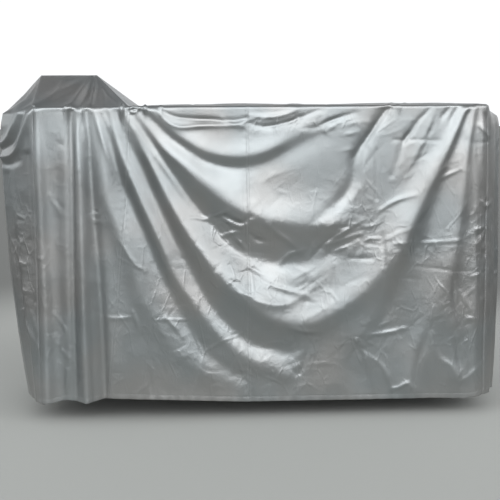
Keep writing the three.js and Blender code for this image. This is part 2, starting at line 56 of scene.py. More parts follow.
class Part(Enum):
    """Stretch of a strip, from the front hem over the top to the back hem."""

    FRONT = "front"
    TOP = "top"
    BACK = "back"


class Seam(Enum):
    """Long edge of a strip."""

    LEFT = "left"
    HOOD = "hood"
    HIP = "hip"
    MIDDLE = "middle"
    RIGHT = "right"


@dataclass(frozen=True)
class CoverSizes:
    """Driving sizes of the cover, in millimetres.

    The walls have one chart. Its u is the distance round the top edge, which is x on the front and
    grows past the right end to the back, and its z is the height.
    """

    length: float = 2250.0
    depth: float = 900.0
    drop: float = 1470.0
    thickness: float = 2.0
    hood_rise: float = 160.0
    ridge_left: float = -1117.0
    ridge_right: float = -831.0
    hood_foot_front: float = -658.0
    hood_foot_back: float = -625.0
    middle_seam: float = -80.0
    edge_radius: float = 14.0
    corner_radius: float = 32.0
    end_ramp: float = 150.0
    bow_ramp: float = 160.0
    bow_right: float = 70.0
    hem_width: float = 24.0
    cloth: float = 1.2

    @property
    def left(self) -> float:
        """Give the x of the left end's wall."""
        return -self.length / 2

    @property
    def right(self) -> float:
        """Give the x of the right end's wall."""
        return self.length / 2

    @property
    def half_depth(self) -> float:
        """Give half of the depth."""
        return self.depth / 2

    @property
    def flat_depth(self) -> float:
        """Give half of the depth without the rounded edge."""
        return self.half_depth - self.edge_radius

    @property
    def round_inset(self) -> float:
        """Give how far the middle of the rounded edge lies in."""
        return 0.293 * self.edge_radius

    @property
    def turn(self) -> float:
        """Give the place u of the back right corner."""
        return self.length / 2 + self.depth

    @property
    def close(self) -> float:
        """Give the place u where the back ends at the left."""
        return self.turn + self.length

    @property
    def eave(self) -> float:
        """Give the height where a wall begins to round into the top."""
        return self.thickness - self.edge_radius


SIZES = CoverSizes()


@dataclass(frozen=True)
class Fold:
    """A soft crest or trough along a smooth curve.

    Attributes:
        path: Points (u, z) in millimetres from the start of the fold to its end.
        rise: Height over the cloth at the start, middle and end, in millimetres.
        left: Half width on the left hand of one who walks the path.
        right: Half width on the right hand.
        round: Roundness of the crest, from 1, creased, to 2.5, broad.
        spread: Width at the start as a share of the width from the middle on.
        peak: Share of the way at which the middle height is reached.
    """

    path: Sequence[Point]
    rise: Tuple[float, float, float]
    left: float
    right: float
    round: float = 1.8
    spread: float = 1.0
    peak: float = 0.5


def folds(*rows: Tuple, crest: float = Fold.round) -> List[Fold]:
    """Read a short table of folds, whose rows that end before the roundness get the given crest."""
    return [Fold(*row[:4], *(row[4:] or (crest,))) for row in rows]


HEM_LEVEL: Sequence[Point] = (
    (-2025, -1466), (-1600, -1460), (-1290, -1462), (-1125, -1466), (-1050, -1460), (-986, -1446),
    (-893, -1458), (-779, -1442), (-555, -1452), (-326, -1462), (-110, -1472), (433, -1474),
    (848, -1474), (1024, -1480), (1125, -1468), (1400, -1462), (2025, -1468), (2700, -1460),
    (3500, -1470), (4275, -1466),
)
HOOD_SEAM: Sequence[Point] = (
    (0, -658), (-210, -663), (-455, -675), (-650, -695), (-970, -724), (-1220, -753), (-1480, -781),
)
LEFT_SWELL: Sequence[Point] = (
    (0, 140), (-30, 156), (-90, 168), (-280, 167), (-460, 155), (-800, 132), (-1140, 97),
    (-1350, 68), (-1480, 46),
)
RIGHT_SWELL: Sequence[Point] = (
    (0, 0), (-25, 30), (-58, 80), (-95, 88), (-950, 84), (-1220, 74), (-1480, 57),
)
FRONT_SWELL: Sequence[Point] = (
    (0, 0), (-60, 8), (-280, 24), (-700, 34), (-1000, 35), (-1250, 28), (-1480, 18),
)

# Each row: path; rise at the start, middle and end; widths left and right; then roundness, spread and peak
SWAG_FOLDS = folds(
    (((-806, -6), (-780, -280), (-765, -450), (-715, -600), (-655, -750), (-595, -950), (-535, -1075),
      (-445, -1200), (-300, -1330)), (3, 19, 6), 60, 52, 1.8, 0.35, 0.35),
    (((-778, -8), (-745, -190), (-708, -355), (-660, -455), (-600, -600), (-540, -750), (-450, -950),
      (-370, -1100), (-265, -1240), (-125, -1340)), (-3, -16, -8), 34, 40, 1.9, 0.4, 0.35),
    (((-752, -6), (-702, -200), (-645, -355), (-570, -530), (-505, -675), (-430, -850), (-360, -950),
      (-250, -1105), (-80, -1260), (100, -1340)), (3, 20, 8), 42, 38, 1.9, 0.35, 0.35),
    (((-722, -6), (-677, -135), (-605, -285), (-535, -455), (-465, -605), (-395, -750), (-285, -955),
      (-205, -1055), (-75, -1165), (125, -1225)), (-3, -19, -12), 46, 44, 1.9, 0.4, 0.35),
    (((-690, -5), (-620, -140), (-550, -285), (-470, -455), (-385, -605), (-280, -755), (-200, -855),
      (-90, -955), (50, -1050), (215, -1075), (430, -965), (605, -775), (735, -610)),
      (3, 42, 9), 100, 62, 1.8, 0.25),
    (((-620, -105), (-520, -250), (-420, -400), (-340, -520)), (3, 9, 3), 16, 16),
    (((-665, -5), (-575, -140), (-485, -285), (-355, -455), (-295, -530), (-220, -630), (-145, -705),
      (-10, -760), (200, -765), (325, -720)), (-3, -35, -14), 92, 64, 1.8, 0.25),
    (((-640, -5), (-555, -115), (-485, -210), (-405, -285), (-330, -365), (-210, -460), (-70, -530),
      (100, -570), (325, -585)), (3, 34, 20), 100, 78, 1.7, 0.25),
    (((-615, -10), (-540, -70), (-470, -140), (-380, -210), (-275, -270), (-145, -295), (-10, -280),
      (130, -215), (275, -145)), (-6, -12, -3), 34, 60, 1.8, 0.6),
    (((-570, -10), (-495, -75), (-420, -135), (-295, -215), (-145, -250), (-10, -230), (150, -145),
      (275, -90)), (5, 10, 3), 56, 34),
    (((-122, -925), (28, -972), (100, -976), (200, -930)), (4, 14, 4), 50, 28, 1.4),
)
RIGHT_FOLDS = folds(
    (((1020, -6), (993, -40), (966, -100), (918, -200), (869, -295), (805, -420), (741, -545), (677, -690),
      (603, -865), (549, -995), (489, -1120)), (8, 25, 14), 54, 96, 2.0, 0.22, 0.55),
    (((1050, -6), (1043, -40), (1034, -100), (1013, -200), (997, -295), (986, -420), (968, -545),
      (950, -695), (922, -870), (929, -1000), (947, -1125), (985, -1340)),
      (7, 21, 10), 42, 80, 2.0, 0.22, 0.45),
    (((993, -175), (974, -295), (946, -420), (928, -545), (900, -695), (867, -870)), (-2, -5, -2), 24, 30),
    (((910, -800), (860, -980), (807, -1150), (735, -1405)), (2, 12, 12), 60, 60),
    (((1066, -6), (1070, -100), (1066, -200), (1063, -300), (1068, -370)), (-2, -4, -1), 7, 7, 1.4),
    (((1077, -6), (1084, -100), (1090, -200), (1097, -300), (1108, -395), (1122, -460)),
      (3, 11, 4), 20, 16, 2.0, 0.6, 0.3),
    (((616, -6), (529, -133), (459, -260), (434, -382), (360, -482), (250, -565)), (-6, -11, -4), 26, 34),
    (((835, -6), (800, -45), (765, -80), (730, -130), (700, -170), (690, -190), (665, -270), (635, -345)),
      (-2, -6, -2), 11, 18, 1.6, 0.5, 0.4),
    (((845, -40), (825, -100), (800, -170), (775, -205), (745, -265), (680, -350)),
      (2, 5, 1), 9, 30, 1.6, 0.5, 0.4),
    (((831, -1092), (805, -1178), (780, -1253), (757, -1400)), (-4, -9, -4), 24, 24),
    (((832, -1140), (885, -1265), (940, -1305), (1005, -1375), (1065, -1335), (1125, -1290)),
      (2, 6, 3), 12, 30, 1.3),
)
CORNER_FOLDS = folds(
    (((-1106, -6), (-1102, -300), (-1096, -650), (-1088, -950), (-1086, -1500)),
      (4, 20, 24), 34, 24, 2.2, 0.6, 0.2),
    (((-1004, -6), (-1008, -450), (-1008, -950), (-1000, -1500)), (-2, -12, -16), 38, 44, 2.0, 1.0, 0.3),
    (((-936, -4), (-932, -300), (-936, -700), (-940, -1100), (-938, -1500)),
      (-9, -13, -12), 13, 18, 1.6, 1.0, 0.15),
    (((-902, -4), (-897, -450), (-894, -950), (-884, -1500)), (4, 22, 32), 32, 28, 2.2, 0.5, 0.25),
    (((-860, -4), (-840, -420), (-810, -950), (-798, -1500)), (-4, -15, -20), 26, 26, 2.0, 0.5, 0.25),
)
END_FOLDS = folds(
    (((-1182, -6), (-1208, -87), (-1240, -152), (-1296, -196)), (8, 15, 8), 12, 15, 1.5),
    (((-1156, -6), (-1182, -92), (-1214, -172), (-1296, -220)), (-4, -9, -5), 10, 11, 1.6),
    (((-1130, -4), (-1152, -78), (-1173, -146), (-1196, -206), (-1232, -238), (-1300, -248)),
      (7, 16, 9), 12, 15, 1.5),
    (((-1300, -275), (-1236, -282), (-1190, -262)), (-3, -8, -3), 14, 12, 1.6),
    (((-1210, -300), (-1200, -700), (-1182, -1100), (-1168, -1450)), (6, 12, 6), 20, 22),
    (((-1156, -230), (-1156, -600), (-1150, -1100), (-1146, -1450)), (-6, -11, -5), 15, 15),
    (((-1254, -330), (-1242, -760), (-1218, -1200)), (-4, -10, -4), 18, 18),
    (((-1224, -1010), (-1182, -1100), (-1136, -1190)), (5, 9, 5), 11, 12, 1.4),
    (((-1400, -110), (-1450, -270), (-1560, -400), (-1680, -400), (-1790, -240), (-1850, -110)),
      (3, 22, 4), 60, 34, 1.8, 0.5, 0.4),
    (((-1400, -230), (-1450, -480), (-1570, -680), (-1700, -660), (-1800, -470)),
      (3, 20, 5), 60, 38, 1.8, 0.5, 0.4),
    (((-1395, -500), (-1460, -820), (-1580, -990), (-1720, -930)), (3, 16, 4), 56, 40, 1.8, 0.5, 0.4),
    (((-1905, -60), (-1900, -500), (-1915, -1500)), (-3, -10, -14), 26, 26),
    (((-1965, -60), (-1970, -500), (-1960, -1500)), (4, 14, 18), 26, 24),
    (((-1700, -1000), (-1690, -1500)), (0, 8, 14), 34, 34),
    (((1395, -110), (1450, -270), (1560, -400), (1690, -390), (1800, -230), (1860, -110)),
      (3, 22, 4), 60, 34, 1.8, 0.5, 0.4),
    (((1380, -260), (1450, -520), (1570, -700), (1710, -660), (1820, -440)),
      (3, 20, 5), 60, 38, 1.8, 0.5, 0.4),
    (((1390, -560), (1470, -850), (1590, -1010), (1730, -960)), (3, 16, 4), 56, 40, 1.8, 0.5, 0.4),
    (((1180, -110), (1186, -600), (1180, -1500)), (4, 14, 18), 24, 24),
    (((1232, -110), (1240, -600), (1236, -1500)), (-3, -10, -14), 24, 26),
    (((1700, -1020), (1695, -1500)), (0, 8, 14), 34, 34),
    (((1960, -80), (1964, -600), (1958, -1500)), (4, 14, 20), 26, 26),
    (((-1330, -150), (-1345, -700), (-1350, -1500)), (3, 20, 26), 60, 60),
    (((-1600, -120), (-1590, -800), (-1605, -1500)), (-2, -12, -24), 70, 80),
    (((-1820, -120), (-1835, -800), (-1820, -1500)), (3, 18, 24), 60, 60),
    (((1290, -150), (1300, -800), (1296, -1500)), (3, 16, 24), 55, 60),
    (((1560, -120), (1545, -800), (1560, -1500)), (-3, -20, -26), 80, 70),
    (((1830, -150), (1840, -800), (1830, -1500)), (3, 16, 22), 60, 60),
)
FLARE_FOLDS = folds(
    (((-1182, -34), (-1290, 30), (-1420, 95), (-1560, 156)), (8, 13, 4), 13, 17, 1.5),
    (((-1165, -34), (-1250, 38), (-1380, 104)), (-4, -8, -3), 12, 12, 1.6),
    (((-1230, -34), (-1350, 30), (-1480, 90)), (-4, -9, -3), 14, 18, 1.6),
    (((-1300, -34), (-1420, 30), (-1540, 110)), (3, 10, 4), 18, 22, 1.6),
)
BACK_FOLDS = folds(
    (((2120, -30), (2140, -700), (2130, -1500)), (4, 20, 28), 50, 46),
    (((2235, -40), (2260, -700), (2245, -1500)), (-3, -14, -20), 44, 50),
    (((2330, -20), (2370, -420), (2470, -760), (2640, -1010), (2880, -1120), (3130, -1060), (3330, -880)),
      (4, 34, 8), 100, 66, 1.8, 0.35, 0.35),
    (((2300, -60), (2330, -520), (2430, -900), (2600, -1160), (2860, -1290), (3140, -1260)),
      (-3, -18, -6), 60, 60, 1.8, 0.5, 0.35),
    (((2440, -20), (2520, -330), (2660, -570), (2860, -710), (3080, -700), (3300, -540), (3480, -300)),
      (4, 36, 8), 100, 62, 1.8, 0.35, 0.35),
    (((2390, -40), (2450, -400), (2590, -700), (2830, -890), (3090, -880), (3330, -690)),
      (-3, -20, -6), 54, 56, 1.8, 0.5, 0.35),
    (((2600, -16), (2700, -200), (2860, -340), (3040, -370), (3220, -260), (3360, -90)),
      (4, 24, 6), 76, 50, 1.8, 0.4, 0.4),
    (((3620, -20), (3590, -420), (3500, -740), (3380, -960), (3230, -1130)),
      (4, 26, 8), 60, 74, 1.8, 0.4, 0.4),
    (((3690, -30), (3680, -500), (3620, -900), (3560, -1200), (3540, -1500)), (-3, -16, -18), 50, 50),
    (((3780, -20), (3800, -700), (3770, -1500)), (4, 22, 30), 46, 50),
    (((3880, -40), (3900, -700), (3890, -1500)), (-3, -16, -22), 44, 44),
    (((3975, -20), (3990, -700), (3980, -1500)), (4, 22, 28), 44, 46),
    (((4150, -20), (4160, -700), (4150, -1500)), (3, 16, 24), 46, 50),
    (((2700, -1200), (2690, -1500)), (0, 12, 22), 60, 60),
    (((2860, -1330), (2855, -1500)), (0, -8, -14), 50, 50),
    (((3010, -1320), (3020, -1500)), (0, 10, 20), 70, 60),
)
EDGE_CREASES = folds(
    (((-515, -10), (-480, -30), (-435, -50), (-360, -60), (-265, -65), (-140, -70), (-85, -60)),
      (-3, -7, -3), 10, 10),
    (((-520, -20), (-490, -55), (-455, -85), (-410, -100), (-310, -95), (-105, -95)), (3, 7, 3), 10, 12),
    (((-80, -80), (-10, -100), (80, -90), (175, -60), (275, -20)), (-3, -6, -2), 10, 12),
    (((-70, -45), (30, -55), (130, -35), (175, -15)), (2, 5, 2), 10, 10),
    (((200, -110), (250, -105), (325, -75), (400, -50), (450, -35)), (-2, -6, -2), 10, 14),
    (((-205, -60), (-150, -90), (-85, -75), (-30, -55)), (2, 4, 2), 9, 9, 1.3),
    (((620, -8), (570, -75), (525, -145), (475, -210), (445, -255)), (-5, -9, -2), 8, 14, 1.3),
    (((735, -125), (712, -150), (695, -180)), (-2, -6, -3), 7, 9, 1.3),
    (((835, -95), (812, -150), (798, -172)), (-2, -6, -3), 7, 9, 1.3),
    (((925, -12), (890, -55), (875, -90)), (-3, -5, -1), 9, 11),
    (((965, -10), (935, -60), (920, -110)), (-3, -4, -1), 8, 10),
    (((1091, -14), (1102, -60), (1118, -120)), (-3, -6, -2), 7, 8),
    (((1100, -8), (1110, -50)), (4, 5, 2), 6, 6),
    (((-900, -20), (-910, -185), (-910, -305)), (4, 6, 2), 9, 9, 1.5),
    (((-885, -25), (-865, -160), (-855, -240)), (4, 7, 2), 9, 10, 1.5),
    (((-825, -20), (-755, -245), (-710, -400)), (4, 9, 2), 10, 14, 1.5),
    (((-785, -20), (-760, -90), (-750, -150)), (4, 5, 1), 10, 10, 1.5),
    crest=1.4,
)
FINE_CREASES = folds(
    (((310, -680), (350, -650), (410, -610), (485, -565)), (5, 7, 2), 9, 9),
    (((310, -685), (400, -655), (480, -630)), (4, 5, 2), 8, 9),
    (((240, -740), (285, -690), (345, -630)), (-3, -7, -3), 9, 12),
    (((10, -575), (75, -630), (175, -705)), (4, 9, 4), 12, 14),
    (((80, -775), (125, -730), (195, -710)), (3, 6, 3), 10, 10),
    (((-265, -540), (-185, -510)), (5, 8, 3), 9, 9),
    (((-200, -535), (-120, -570), (-70, -540)), (-6, -10, -6), 10, 10),
    (((-205, -550), (-115, -585)), (4, 8, 4), 8, 8),
    (((-75, -625), (-35, -655), (15, -665)), (-4, -9, -3), 10, 10),
    (((-140, -650), (-100, -690)), (6, 8, 4), 9, 9),
    (((-205, -635), (-120, -610)), (4, 7, 4), 9, 9),
    (((-365, -540), (-300, -550), (-245, -560)), (3, 5, 3), 8, 8),
    (((-165, -850), (-120, -870)), (-4, -6, -3), 8, 8),
    (((-120, -910), (-60, -935)), (4, 6, 3), 8, 8),
    (((-85, -785), (-20, -825)), (-5, -9, -4), 11, 11),
    (((-30, -855), (75, -895), (195, -930)), (2, 6, 3), 10, 14, 1.4),
    (((645, -1420), (675, -1415), (720, -1390), (745, -1415)), (4, 7, 4), 8, 9),
    (((950, -1125), (975, -1240), (1000, -1365)), (-4, -11, -4), 16, 16, 1.5),
    (((980, -925), (1015, -985), (1055, -1050)), (4, 7, 4), 6, 8, 1.2),
    (((945, -870), (950, -990), (975, -1065)), (-4, -8, -3), 9, 12, 1.4),
    (((1115, -625), (1095, -660), (1075, -700)), (4, 7, 3), 6, 7, 1.2),
    (((1050, -620), (1115, -610)), (3, 5, 3), 6, 6, 1.2),
    (((1040, -855), (1100, -830)), (3, 5, 2), 6, 7, 1.2),
    (((1020, -1065), (1065, -1070)), (4, 6, 4), 8, 8),
    (((530, -1140), (615, -1130), (705, -1110)), (4, 6, 3), 8, 10),
    (((580, -1095), (630, -1070)), (3, 4, 2), 8, 8),
    (((455, -1160), (495, -1200)), (5, 8, 5), 9, 9),
    (((465, -1195), (505, -1245), (540, -1435)), (3, 6, 2), 10, 10, 1.4),
    (((505, -1235), (595, -1310), (660, -1470)), (3, 5, 3), 9, 9, 1.4),
    (((635, -680), (805, -680), (965, -670)), (3, 3, 3), 8, 8),
    (((745, -795), (945, -820), (1100, -835)), (-1, -2, -2), 7, 7),
    (((585, -640), (590, -790)), (-3, -4, -3), 8, 8),
    (((125, -1095), (200, -1115), (275, -1120)), (4, 8, 3), 12, 10, 1.4),
    (((140, -1135), (165, -1215)), (-3, -6, -3), 9, 9),
    (((125, -1290), (165, -1340), (225, -1175)), (-2, -5, -2), 9, 9),
    (((880, -360), (975, -315)), (2, 4, 2), 6, 7),
    (((1070, -100), (1125, -155)), (3, 5, 3), 8, 8),
    (((575, -515), (650, -470), (750, -440)), (3, 5, 2), 9, 9),
    (((1095, -480), (1120, -505), (1150, -490)), (4, 7, 4), 9, 12),
    (((645, -170), (760, -172), (870, -175)), (-2, -2, -2), 8, 8),
    (((-980, -1290), (-990, -1405)), (4, 6, 3), 8, 8, 1.4),
    (((-780, -1030), (-735, -1035), (-655, -1030)), (2, 4, 2), 8, 8),
    (((-1050, -425), (-1020, -475), (-995, -525)), (1, 2, 1), 9, 9, 1.4),
    (((205, -855), (205, -970)), (-2, -2, -2), 8, 8),
    (((340, -805), (340, -955)), (-2, -3, -2), 8, 8),
    (((555, -220), (555, -465)), (-2, -2, -2), 8, 8),
    (((495, -220), (495, -415)), (2, 2, 2), 8, 8),
    (((425, -755), (535, -755)), (-2, -3, -2), 8, 8),
    (((-490, -1035), (-445, -1085), (-410, -1135)), (4, 7, 3), 10, 10),
    (((-650, -1005), (-635, -1055), (-620, -1110)), (3, 5, 2), 9, 9),
    (((-710, -650), (-640, -760), (-590, -800)), (2, 5, 2), 10, 10, 1.4),
    (((-575, -1310), (-565, -1430)), (-2, -4, -2), 8, 8, 1.4),
    (((-1040, -1010), (-985, -1090), (-1010, -1180), (-970, -1230)), (2, 5, 2), 9, 9),
    (((-1175, -960), (-1150, -1060), (-1140, -1180)), (4, 8, 3), 12, 12),
    (((-1235, -730), (-1190, -800)), (4, 7, 3), 10, 10),
    (((-1215, -900), (-1160, -915)), (3, 6, 3), 9, 9),
    crest=1.3,
)
HOOD_CREASES = folds(
    (((-850, 0.97), (-893, 0.5), (-938, 0.0)), (9, 20, 11), 15, 20, 1.4),
    (((-836, 0.97), (-838, 0.5), (-842, 0.0)), (7, 16, 9), 9, 11, 1.4),
    (((-842, 0.95), (-868, 0.5), (-893, 0.0)), (-5, -13, -8), 14, 13, 1.5),
    (((-870, 0.95), (-980, 0.5), (-1095, 0.06)), (5, 14, 6), 22, 44),
    (((-815, 0.9), (-762, 0.5), (-702, 0.1)), (-4, -10, -4), 13, 18),
    (((-1000, 0.95), (-1010, 0.6), (-1040, 0.25)), (2, 5, 2), 16, 16, 1.4),
    (((-800, 0.8), (-790, 0.45), (-775, 0.05)), (3, 7, 3), 10, 10, 1.4),
    (((-1010, 0.2), (-960, 0.28), (-905, 0.24)), (2, 5, 2), 12, 12, 1.3),
)
TOP_CREASES = folds(
    (((-540, -400), (-300, -260), (60, -190), (420, -230)), (3, 8, 2), 44, 60),
    (((-560, 180), (-350, 120), (-60, 160), (200, 130)), (2, 7, 2), 50, 40),
    (((120, -430), (160, -330), (260, -240)), (6, 7, 1), 30, 40),
    (((640, -430), (600, -330), (520, -270)), (5, 6, 1), 30, 36),
    (((1080, -400), (960, -280), (820, -240), (640, -250)), (4, 8, 2), 36, 46),
    (((1080, 400), (940, 300), (760, 280), (560, 300)), (3, 8, 2), 36, 50),
    (((-580, 400), (-420, 330), (-200, 300), (100, 330)), (3, 8, 2), 40, 50),
    (((240, 60), (480, 130), (760, 100), (980, 40)), (2, 8, 2), 50, 38),
    (((280, -120), (520, -60), (800, -110)), (-2, -6, -2), 50, 44),
    (((372, -430), (378, 0), (374, 430)), (-2, -3, -2), 8, 9, 1.3),
    (((742, -430), (736, 0), (741, 430)), (2, 3, 2), 8, 8, 1.3),
    (((-330, -430), (-334, 0), (-329, 430)), (-2, -3, -2), 8, 9, 1.3),
)


@dataclass(frozen=True)
class Patch:
    """A patch of cloth that is crumpled by short straight creases.

    Attributes:
        u: Its middle round the walls.
        z: The height of its middle.
        wide: Half of its width.
        high: Half of its height.
        count: Number of creases.
        lean: Main direction of the creases, in degrees from the level.
        length: Usual length of a crease, in millimetres.
        rise: Usual height of a crease, in millimetres.
    """

    u: float
    z: float
    wide: float
    high: float
    count: int
    lean: float
    length: float
    rise: float


CRUMPLED = tuple(Patch(*row) for row in (
    (-400, -1180, 260, 200, 40, -50, 110, 1.1),
    (-1010, -1130, 60, 130, 16, -65, 60, 0.9),
    (-1000, -220, 50, 160, 14, -50, 70, 0.7),
    (-1195, -700, 70, 330, 40, -40, 70, 2.0),
    (-140, -600, 130, 60, 20, -20, 80, 2.2),
    (-110, -850, 160, 90, 18, -30, 90, 1.2),
    (230, -90, 330, 45, 22, 15, 90, 1.4),
    (520, -1180, 190, 160, 20, 60, 110, 1.0),
    (960, -1080, 130, 150, 26, 50, 90, 1.5),
    (1080, -680, 60, 190, 26, 60, 70, 1.4),
    (800, -690, 260, 60, 30, 6, 120, 1.1),
    (470, -600, 130, 130, 26, 55, 80, 1.1),
    (440, -640, 190, 90, 20, 30, 140, 1.2),
    (100, -1300, 280, 110, 26, 30, 120, 1.3),
    (-822, -530, 34, 40, 14, -40, 45, 1.1),
    (-500, -780, 150, 150, 12, -60, 110, 0.9),
    (200, -420, 300, 120, 14, 20, 150, 0.8),
    (700, -300, 330, 180, 26, 40, 150, 0.9),
    (200, -1000, 900, 330, 60, 30, 170, 1.0),
    (1570, -750, 400, 650, 70, 30, 130, 1.8),
    (-1780, -750, 300, 650, 50, 40, 130, 1.8),
    (3150, -750, 1100, 650, 170, 25, 150, 1.9),
))


@dataclass(frozen=True)
class Pinch:
    """A small tuck that stands up where cloth is drawn over the top's front edge.

    Attributes:
        x: Its place along the edge.
        height: How far it stands up, in millimetres.
        width: Half of its width.
        down: How far it runs down the wall.
        back: How far it runs back over the top.
    """

    x: float
    height: float
    width: float
    down: float
    back: float


PINCHES = tuple(Pinch(*row) for row in (
    (-958, 13, 8, 60, 34),
    (-941, 9, 7, 50, 26),
    (-886, 8, 7, 70, 28),
    (-690, 17, 8, 60, 50),
    (-577, 10, 8, 40, 34),
    (-500, 6, 9, 40, 26),
    (622, 6, 8, 40, 26),
    (668, 4, 9, 30, 24),
    (1060, 4, 8, 60, 20),
))


def smooth(x: Array, start: float, stop: float) -> Array:
    """Rise smoothly from 0 to 1 as x goes from start to stop."""
    t = np.clip((np.asarray(x, float) - start) / (stop - start), 0.0, 1.0)
    return t * t * (3.0 - 2.0 * t)


def between(rows: Sequence[Point], at: Array) -> Array:
    """Read a table of places and their values between its rows."""
    table = np.array(sorted(rows), float)
    return np.interp(at, table[:, 0], table[:, 1])


def crumpling(u: Array, z: Array) -> Array:
    """Give how crumpled the cloth is.

    Args:
        u: Places round the walls.
        z: Heights.

    Returns:
        Shares from 0, smooth, to 1, crumpled.
    """
    low = 0.24 * smooth(-z, 250, 900)
    beside = 0.25 * smooth(np.abs(u - SIZES.left / 2), 1300, 1900)
    share = 0.06 + low + beside + 0.3 * smooth(z, 60, 200)
    for patch in CRUMPLED:
        fill = patch.count * patch.length * patch.rise / (patch.wide * patch.high)
        near = np.exp(-((u - patch.u) / patch.wide) ** 2 - ((z - patch.z) / patch.high) ** 2)
        share = share + min(1.0, 4.0 * fill) * near
    return np.minimum(1.0, share)


class Noise:
    """Smooth noise in space that is the same on every run."""

    CELLS = 256

    def __init__(self, seed: int) -> None:
        """Draw the noise's slopes.

        Args:
            seed: Number that fixes the draw.
        """
        draw = np.random.default_rng(seed)
        self.order = draw.permutation(self.CELLS)
        slopes = draw.normal(size=(self.CELLS, 3))
        self.slopes = slopes / np.linalg.norm(slopes, axis=1, keepdims=True)

    def at(self, points: Array) -> Array:
        """Read the noise.

        Args:
            points: Places, one cell to each unit.

        Returns:
            A value from about -0.7 to 0.7 at each place.
        """
        low = np.floor(points)
        part = points - low
        cell = low.astype(int)
        ease = part**3 * (part * (part * 6 - 15) + 10)
        total = np.zeros(points.shape[:-1])
        for corner in itertools.product((0, 1), repeat=3):
            place = (cell + corner) % self.CELLS
            pick = self.order[place[..., 0]]
            for axis in (1, 2):
                pick = self.order[(pick + place[..., axis]) % self.CELLS]
            slope = ((part - corner) * self.slopes[pick]).sum(axis=-1)
            total += np.where(corner, ease, 1 - ease).prod(axis=-1) * slope
        return total


class FoldLine:
    """A fold as a height over the (u, z) plane."""

    STEPS = 28
    FINE_STEPS = 20
    REACH = 2.8

    def __init__(self, row: Fold, scale_z: float = 1.0) -> None:
        """Work the smooth line through the fold's points out.

        Args:
            row: The fold.
            scale_z: Factor on the second coordinate of the path.
        """
        self.row = row
        self.line = self._spaced(np.array(row.path, float) * (1.0, scale_z))
        reach = self.REACH * max(row.left, row.right)
        self.low = self.line.min(axis=0) - reach
        self.high = self.line.max(axis=0) + reach

    @classmethod
    def _spaced(cls, points: Array) -> Array:
        """Space points evenly along a smooth curve through the given ones.

        Args:
            points: The points that the curve goes through.

        Returns:
            The evenly spaced points.
        """
        ends = np.vstack([2 * points[0] - points[1], points, 2 * points[-1] - points[-2]])
        fine = [points[0]]
        for p0, p1, p2, p3 in zip(ends, ends[1:], ends[2:], ends[3:]):
            gaps = ((p0, p1), (p1, p2), (p2, p3))
            d0, d1, d2 = (max(np.linalg.norm(b - a) ** 0.5, 1e-4) for a, b in gaps)
            m1 = ((p1 - p0) / d0 - (p2 - p0) / (d0 + d1) + (p2 - p1) / d1) * d1
            m2 = ((p2 - p1) / d1 - (p3 - p1) / (d1 + d2) + (p3 - p2) / d2) * d1
            for t in np.linspace(0, 1, cls.FINE_STEPS + 1)[1:]:
                fine.append((2 * t**3 - 3 * t**2 + 1) * p1 + (t**3 - 2 * t**2 + t) * m1
                            + (-2 * t**3 + 3 * t**2) * p2 + (t**3 - t**2) * m2)
        fine = np.array(fine)
        run = np.concatenate([[0], np.cumsum(np.linalg.norm(np.diff(fine, axis=0), axis=1))])
        at = np.linspace(0, run[-1], cls.STEPS + 1)
        return np.stack([np.interp(at, run, column) for column in fine.T], axis=1)

    def height(self, u: Array, z: Array) -> Array:
        """Give the fold's height at places of the chart.

        Args:
            u: First coordinate of each place.
            z: Second coordinate of each place.

        Returns:
            The height at each place, in millimetres.
        """
        out = np.zeros(u.shape)
        near = (u > self.low[0]) & (u < self.high[0]) & (z > self.low[1]) & (z < self.high[1])
        if not near.any():
            return out
        px, pz = u[near], z[near]
        best = np.full(px.shape, np.inf)
        along, side = np.zeros(px.shape), np.zeros(px.shape)
        for i, (a, b) in enumerate(zip(self.line, self.line[1:])):
            d = b - a
            qx, qz = px - a[0], pz - a[1]
            t = np.clip((qx * d[0] + qz * d[1]) / (d @ d), 0, 1)
            gap = np.hypot(qx - t * d[0], qz - t * d[1])
            closer = gap < best
            best = np.where(closer, gap, best)
            along = np.where(closer, (i + t) / self.STEPS, along)
            side = np.where(closer, d[0] * qz - d[1] * qx, side)
        row = self.row
        width = np.where(side > 0, row.left, row.right)
        width = width * (row.spread + (1 - row.spread) * smooth(along, 0, row.peak))
        start, middle, end = row.rise
        first = start + (middle - start) * smooth(along, 0, row.peak)
        second = middle + (end - middle) * smooth(along, row.peak, 1)
        out[near] = np.where(along < row.peak, first, second) * np.exp(-((best / width) ** row.round))
        return out


